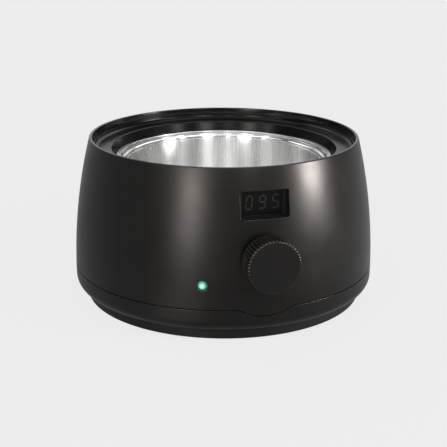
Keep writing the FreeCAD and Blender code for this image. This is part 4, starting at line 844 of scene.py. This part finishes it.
# Moulded plastics by slot: colour, roughness, size and depth of the grain, and where they aren't
# the usual ones the unevenness of the gloss and the specular level
PLASTICS = {
    "base_black": (BLACK, 0.42, 0.3, 0.006, 0.03),
    "ring_black": (BLACK, 0.23, 0.25, 0.001, 0.03, 0.2),
    "knob_black": (BLACK, 0.22, 0.2, 0.004, 0.03, 0.66),
    "inlet_black": ((0.006, 0.006, 0.006), 0.42, 0.3, 0.006),
    "frame_black": ((0.002, 0.002, 0.002), 0.5, 0.3, 0.006, 0.03),
    "display_black": ((0.0013, 0.0013, 0.0013), 0.35, 0.2, 0.003, 0.03, 0.26),
    "digit_lit": ((0.0115, 0.0125, 0.0125), 0.4, 0.3, 0.004),
    "digit_dark": ((0.0016, 0.0017, 0.0017), 0.36, 0.3, 0.003, 0.03, 0.28),
    "lamp_holder_green": ((0.006, 0.07, 0.045), 0.4, 0.3, 0.004, 0.03),
    "cutout_phenolic": ((0.016, 0.011, 0.008), 0.42, 0.4, 0.01),
    "sensor_epoxy": ((0.02, 0.02, 0.022), 0.3, 0.5, 0.01),
    "relay_black": ((0.012, 0.012, 0.013), 0.35, 0.3, 0.006),
    "transformer_yellow": ((0.66, 0.45, 0.05), 0.4, 1.0, 0.02),
    "capacitor_sleeve": ((0.02, 0.03, 0.09), 0.25, 0.8, 0.006),
    "fuse_glass": ((0.55, 0.56, 0.52), 0.18, 1.2, 0.01),
    "terminal_grey": ((0.10, 0.16, 0.12), 0.45, 0.3, 0.01),
    "header_white": ((0.72, 0.71, 0.66), 0.45, 0.3, 0.01),
    "cable_grey": ((0.35, 0.35, 0.36), 0.5, 0.5, 0.01),
    "wire_blue": ((0.03, 0.11, 0.42), 0.45, 0.6, 0.01),
    "wire_white": ((0.68, 0.67, 0.62), 0.5, 0.6, 0.01),
    "wire_grey": ((0.22, 0.22, 0.23), 0.5, 0.6, 0.01),
}

# Sheet metals by slot: colour, roughness, size of the crystals, and the depth of the relief where
# it isn't the usual one
SHEET_METALS = {
    "heater_sheath": ((0.46, 0.42, 0.36), 0.38, 6.0),
    "shield_steel": ((0.58, 0.60, 0.62), 0.34, 5.0),
    "screw_steel": ((0.62, 0.63, 0.66), 0.28, 1.5, 0.002),
    "clip_steel": ((0.55, 0.55, 0.56), 0.3, 2.0, 0.002),
    "dial_housing": ((0.50, 0.49, 0.46), 0.32, 2.0, 0.002),
    "dial_metal": ((0.60, 0.60, 0.58), 0.28, 1.5, 0.002),
    "contact_metal": ((0.72, 0.70, 0.62), 0.2, 1.5, 0.001),
}


def moulded_plastic(name, colour, roughness, grain, depth, cloud=0.04, level=0.5):
    """Moulded plastic with a fine eroded grain and a slightly uneven gloss."""
    finish = Finish(name, colour, roughness=roughness)
    finish.set("Specular IOR Level", level)
    finish.set("Specular Tint", PLASTIC_TINT)
    broad = finish.spread(finish.noise(18.0, 3.0), roughness - cloud, roughness + cloud)
    fine = finish.spread(finish.noise(grain * 2, 1.0), -cloud / 2, cloud / 2)
    finish.roughness_from(finish.math("ADD", broad, fine))
    finish.bump(finish.noise(grain), depth)
    return finish


def body_plastic(name, colour, roughness):
    """The body's moulded plastic, which is glossier on the inner side of the rim."""
    finish = moulded_plastic(name, colour, roughness, 0.45, 0.011, 0.03)
    start, end = RIM_GLOSS_RADII
    inner = finish.spread(finish.polar_place()[2], RIM_GLOSS, 1.0, start * MM, end * MM)
    given = finish.shader.inputs["Roughness"].links[0].from_socket
    finish.roughness_from(finish.math("MULTIPLY", given, inner))
    return finish


def turned_metal(name, colour, roughness):
    """Metal turned on a lathe, with fine lines round the axis."""
    finish = Finish(name, colour, metallic=1.0, roughness=roughness)
    angle, height, distance = finish.polar_place()
    place = finish.joined(finish.math("MULTIPLY", angle, 0.0006), height, distance)
    lines = finish.noise(0.35, 3.0, place)
    finish.roughness_from(finish.spread(lines, roughness - 0.05, roughness + 0.07))
    finish.bump(lines, 0.002)
    return finish


def drawn_metal(name, colour, roughness):
    """Deep-drawn polished metal with faint upright draw lines and wiping marks."""
    finish = Finish(name, colour, metallic=1.0, roughness=roughness)
    angle, height, distance = finish.polar_place()
    place = finish.joined(finish.math("MULTIPLY", angle, 0.058),
                          finish.math("MULTIPLY", height, 0.02), distance)
    lines = finish.noise(0.6, 3.0, place)
    broad = finish.noise(7.0, 2.0, place)
    start, end = POT_LIP_RADII
    inside = finish.spread(distance, 1.0, POT_LIP_GLOSS, start * MM, end * MM)
    uneven = finish.math("ADD", finish.spread(lines, roughness - 0.02, roughness + 0.03),
                         finish.spread(broad, -0.02, 0.03))
    finish.roughness_from(finish.math("MULTIPLY", inside, uneven))
    finish.bump(broad, 0.05)
    finish.bump(lines, 0.003)
    finish.set("Anisotropic", 0.95)
    finish.set("Anisotropic Rotation", 0.25)
    grooves = finish.node("ShaderNodeTangent", direction_type="RADIAL", axis="Z")
    finish.feed(finish.shader.inputs["Tangent"], grooves.outputs[0])
    return finish


def sheet_metal(name, colour, roughness, grain, depth=0.004):
    """Rolled sheet metal with a crystalline, slightly stained surface."""
    finish = Finish(name, colour, metallic=1.0, roughness=roughness)
    cells = finish.node("ShaderNodeTexVoronoi")
    cells.inputs["Scale"].default_value = 1.0 / (grain * MM)
    finish.feed(cells.inputs["Vector"], finish.where())
    finish.roughness_from(finish.spread(cells.outputs["Distance"], roughness - 0.06,
                                        roughness + 0.1, 0.0, 1.0))
    dim = tuple(c * 0.82 for c in colour)
    finish.colour_from(finish.shades(finish.noise(grain * 2, 3.0), (0.35, dim), (0.65, colour)))
    finish.bump(finish.noise(grain / 8), depth)
    return finish


def rubber(name, colour):
    """Matt rubber with a fine dusty grain."""
    finish = Finish(name, colour, roughness=0.85)
    bright = tuple(c * 1.8 + 0.004 for c in colour)
    finish.colour_from(finish.shades(finish.noise(2.0, 4.0), (0.4, colour), (0.75, bright)))
    finish.bump(finish.noise(0.4), 0.02)
    return finish


def wool(name):
    """Pressed mineral wool."""
    finish = Finish(name, (0.55, 0.49, 0.34), roughness=0.95)
    fibres = finish.noise(0.5, 5.0, finish.stretched((1.0, 1.0, 4.0)), 0.7)
    finish.colour_from(finish.shades(fibres, (0.3, (0.33, 0.27, 0.16)), (0.7, (0.72, 0.66, 0.5))))
    finish.bump(fibres, 0.4)
    return finish


def circuit_board(name):
    """Green circuit board with the weave and the tracks showing through its mask."""
    finish = Finish(name, (0.01, 0.09, 0.03), roughness=0.3)
    bricks = finish.node("ShaderNodeTexBrick", offset=0.37, squash=0.6, squash_frequency=3)
    bricks.inputs["Scale"].default_value = 130.0
    bricks.inputs["Mortar Size"].default_value = 0.09
    bricks.inputs["Mortar Smooth"].default_value = 0.2
    finish.feed(bricks.inputs["Vector"], finish.where())
    tracks = bricks.outputs["Fac"]
    finish.colour_from(finish.shades(tracks, (0.2, (0.006, 0.07, 0.022)),
                                     (0.8, (0.014, 0.15, 0.05))))
    finish.bump(tracks, 0.03)
    finish.bump(finish.noise(0.4, 1.0), 0.004)
    return finish


def lamp_lens(name):
    """Green diffused lamp that glows most at its core."""
    finish = Finish(name, (0.08, 0.34, 0.24), roughness=0.22)
    finish.set("Coat Weight", 0.4)
    axis = around(1.0, LAMP_ANGLE, 0.0)
    place = finish.split(finish.where())
    across = finish.along(place, -axis.y, axis.x)
    rise = finish.math("SUBTRACT", place["Z"], LAMP_Z * MM)
    reach = finish.spread(finish.length(across, rise), 0.0, 1.0, 0.0, LAMP_GLOW_RADIUS * MM)
    glow = finish.shades(reach, (0.0, (0.72, 0.90, 0.81)), (0.45, (0.36, 0.62, 0.51)),
                         (0.8, (0.04, 0.15, 0.11)), (1.0, (0.02, 0.14, 0.09)))
    finish.feed(finish.shader.inputs["Emission Color"], glow)
    finish.set("Emission Strength", 0.85)
    finish.bump(finish.noise(0.8, 1.0), 0.004)
    return finish


def make_materials():
    """All materials by the record's slot names."""
    made = {slot: moulded_plastic(slot, *look) for slot, look in PLASTICS.items()}
    made.update((slot, sheet_metal(slot, *look)) for slot, look in SHEET_METALS.items())
    made["shell_black"] = body_plastic("shell_black", BLACK, 0.31)
    made["well_metal"] = turned_metal("well_metal", (0.86, 0.86, 0.87), 0.17)
    made["pot_metal"] = drawn_metal("pot_metal", (0.92, 0.92, 0.91), 0.27)
    made["foot_rubber"] = rubber("foot_rubber", (0.012, 0.012, 0.012))
    made["insulation_wool"] = wool("insulation_wool")
    made["board_green"] = circuit_board("board_green")
    made["lamp_green"] = lamp_lens("lamp_green")
    # The lamp holder gets a faint green emission: a painted glow of the lamp's light on a part that
    # is no lamp.
    bushing = made["lamp_holder_green"]
    bushing.set("Emission Color", (0.01, 0.10, 0.06, 1))
    bushing.set("Emission Strength", 0.2)
    return {slot: finish.material for slot, finish in made.items()}


def dress_nodes(materials):
    """Puts the procedural materials on the CAD nodes, by their slots' names."""
    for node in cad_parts.values():
        for place in node.material_slots:
            place.material = materials[place.material.name.split(".")[0]]


# Floor: it looks evenly pale and keeps a faint shadow; in reflections it glows dimly, with painted
# light paler to one side and a painted strip of light
FLOOR_REACH = 6000.0
FLOOR_GREY = 0.45
FLOOR_GLOW = 0.888
FADE_REACH = (250.0, 700.0)
FADE_LEVEL = 0.958
GLOW_SHARE = (0.9, 0.99)
# Painted light: a paler glow to one side of the floor, which only reflections see
PAINTED_PALE_SIDE = 115.0
PAINTED_PALE_REACH = (-60.0, 140.0)
PAINTED_PALE_LEVEL = 0.5
# Painted light: a pool of light in a strip on the floor, which only reflections see
PAINTED_POOL_SIDE = -38.0
PAINTED_POOL_EDGE = (12.0, 60.0)
PAINTED_POOL_START = (60.0, 150.0)
PAINTED_POOL_LEVEL = 0.95

# Surroundings: backdrop behind the object, dimmer room, and a ring of light overhead, with their
# edges as cosines and sines of directions
BACKDROP = 0.847
FILL = 0.5
DIM = 0.32
CEILING = 0.3
BACKDROP_EDGE = (0.76, 0.94)
CEILING_EDGE = (0.42, 0.62)
HALO = 1.8
HALO_LOW = 0.80
HALO_HIGH = 0.93
HALO_EDGE = 0.03

# Soft boxes: name, angle, distance, heights of the edges, width, radiance, and colour if not white
SOFT_BOXES = (
    ("box_right", 56.4, 1200.0, 155.0, 355.0, 258.0, 66.0, (1.0, 0.955, 0.93)),
    ("box_left", -39.3, 1000.0, 60.0, 340.0, 230.0, 10.4, (1.0, 0.945, 0.905)),
    ("box_low", -40.5, 420.0, 2.0, 52.0, 110.0, 2.0, (1.0, 0.955, 0.91)),
    ("strip_0", 41.0, 900.0, 440.0, 700.0, 100.0, 12.5),
    ("strip_1", 6.0, 900.0, 440.0, 700.0, 190.0, 12.5),
    ("strip_2", -21.0, 900.0, 440.0, 700.0, 70.0, 12.5),
    ("strip_3", -46.0, 900.0, 440.0, 700.0, 170.0, 12.5),
    ("strip_4", -69.0, 900.0, 440.0, 700.0, 60.0, 12.5),
    ("panel_0", 150.0, 900.0, 600.0, 1150.0, 560.0, 2.0),
    ("panel_1", -150.0, 900.0, 600.0, 1150.0, 560.0, 2.0),
)
BOX_TOP = ("box_top", 180.0, 60.0, 900.0, 2000.0, 1100.0, 0.6)

# Camera, as fitted to the photograph
CAMERA_SPOT = Vector((-159.9, -584.5, 235.2))
CAMERA_PITCH = -17.74
CAMERA_YAW = 15.3
CAMERA_ROLL = 0.249
CAMERA_LENS = 83.68
CAMERA_SENSOR = 36.0


def make_stage():
    """Pale floor that keeps a soft shadow, over a backdrop of the same colour."""
    data = bpy.data.meshes.new("floor")
    reach = FLOOR_REACH * MM
    corners = [(-reach, -reach, 0), (reach, -reach, 0), (reach, reach, 0), (-reach, reach, 0)]
    data.from_pydata(corners, [], [(0, 1, 2, 3)])
    floor = bpy.data.objects.new("floor", data)
    bpy.context.scene.collection.objects.link(floor)
    finish = Finish("floor_pale", (FLOOR_GREY,) * 3, roughness=0.9)
    finish.set("Specular IOR Level", 0.0)

    def fade(value, low, high, ends):
        return finish.spread(value, low, high, ends[0] * MM, ends[1] * MM)

    place = finish.split(finish.where())
    side, pool = around(1.0, PAINTED_PALE_SIDE, 0.0), around(1.0, PAINTED_POOL_SIDE, 0.0)
    across = finish.math("ABSOLUTE", finish.along(place, pool.y, -pool.x))
    ahead = finish.along(place, pool.x, pool.y)
    # Painted light seen only in reflections: a strip of light and a paler glow to one side
    painted_strip = finish.math("MULTIPLY", fade(across, PAINTED_POOL_LEVEL, 0.0, PAINTED_POOL_EDGE),
                        fade(ahead, 0.0, 1.0, PAINTED_POOL_START))
    painted_side_glow = fade(finish.along(place, side.x, side.y), DIM, PAINTED_PALE_LEVEL, PAINTED_PALE_REACH)
    away = finish.length(place["X"], place["Y"])
    plain, glossy = finish.rays()
    glow = finish.node("ShaderNodeEmission")
    glow.inputs["Color"].default_value = (FLOOR_GLOW, FLOOR_GLOW, FLOOR_GLOW, 1)
    level = finish.math("MULTIPLY", plain, fade(away, 1.0, FADE_LEVEL, FADE_REACH))
    mirrored = finish.math("MAXIMUM", painted_side_glow, painted_strip)
    finish.feed(glow.inputs["Strength"], finish.math("MAXIMUM", level, mirrored))
    seen = finish.math("MAXIMUM", plain, glossy)
    share = finish.math("MULTIPLY", seen, fade(away, *GLOW_SHARE, FADE_REACH))
    mix = finish.node("ShaderNodeMixShader")
    finish.feed(mix.inputs["Fac"], share)
    finish.feed(mix.inputs[1], finish.shader.outputs[0])
    finish.feed(mix.inputs[2], glow.outputs[0])
    finish.feed(finish.tree.nodes["Material Output"].inputs["Surface"], mix.outputs[0])
    data.materials.append(finish.material)


def make_world():
    """Surroundings: the pale backdrop behind the object, and a dimmer room in reflections."""
    world = bpy.data.worlds.new("studio")
    bpy.context.scene.world = world
    world.use_nodes = True
    sky = Nodes(world.node_tree)
    place = sky.split(sky.node("ShaderNodeTexCoord").outputs["Generated"])
    back = around(1.0, CAMERA_YAW, 0.0)
    behind = sky.spread(sky.along(place, back.x, -back.y), DIM, 1.0, *BACKDROP_EDGE)
    overhead = sky.spread(place["Z"], 1.0, CEILING, *CEILING_EDGE)
    halo = sky.math("MINIMUM", sky.spread(place["Z"], 0.0, HALO, HALO_LOW, HALO_LOW + HALO_EDGE),
                    sky.spread(place["Z"], HALO, 0.0, HALO_HIGH, HALO_HIGH + HALO_EDGE))
    pale = sky.math("MAXIMUM", sky.math("MULTIPLY", behind, overhead), halo)
    plain, glossy = sky.rays()
    mirrored = sky.math("MULTIPLY", glossy, pale)
    other = sky.spread(glossy, FILL, 0.0, 0.0, 1.0)
    background = sky.tree.nodes["Background"]
    background.inputs["Color"].default_value = (BACKDROP, BACKDROP, BACKDROP, 1)
    strength = sky.math("MAXIMUM", plain, sky.math("ADD", mirrored, other))
    sky.feed(background.inputs["Strength"], strength)


def soft_box(name, angle, distance, low, high, width, level, colour=(1, 1, 1)):
    """An upright soft box that faces the body's axis, seen with that radiance."""
    height = high - low
    data = bpy.data.lights.new(name, "AREA")
    data.shape = "RECTANGLE"
    data.size, data.size_y = width * MM, height * MM
    data.energy = level * math.pi * width * height * MM * MM
    data.color = colour
    lamp = bpy.data.objects.new(name, data)
    bpy.context.scene.collection.objects.link(lamp)
    lamp.location = around(distance, angle, (low + high) / 2) * MM
    lamp.rotation_mode = "QUATERNION"
    lamp.rotation_quaternion = around(1.0, angle, 0.0).to_track_quat("Z", "Y")
    lamp.visible_camera = False
    return lamp


def make_lights():
    """Soft boxes at both sides, narrow ones above the front, panels behind and one overhead."""
    for box in SOFT_BOXES:
        soft_box(*box)
    top = soft_box(*BOX_TOP)
    top.rotation_quaternion = Vector(top.location).to_track_quat("Z", "Y")


def make_camera():
    """Camera at the photograph's place."""
    data = bpy.data.cameras.new("camera")
    data.lens = CAMERA_LENS
    data.sensor_width = CAMERA_SENSOR
    camera = bpy.data.objects.new("camera", data)
    bpy.context.scene.collection.objects.link(camera)
    camera.location = CAMERA_SPOT * MM
    yaw, pitch = math.radians(CAMERA_YAW), math.radians(CAMERA_PITCH)
    ahead = Vector((math.sin(yaw) * math.cos(pitch), math.cos(yaw) * math.cos(pitch),
                    math.sin(pitch)))
    level = ahead.to_track_quat("-Z", "Y").to_matrix()
    roll = Matrix.Rotation(math.radians(CAMERA_ROLL), 3, "Z")
    camera.rotation_mode = "QUATERNION"
    camera.rotation_quaternion = (level @ roll).to_quaternion()
    bpy.context.scene.camera = camera


materials = make_materials()
dress_nodes(materials)
make_upper_shell(materials["shell_black"])
make_lower_shell(materials["shell_black"])
make_knob(materials["knob_black"])
make_pot(materials["pot_metal"])
make_stage()
make_world()
make_lights()
make_camera()
bpy.context.scene.view_settings.view_transform = "Standard"
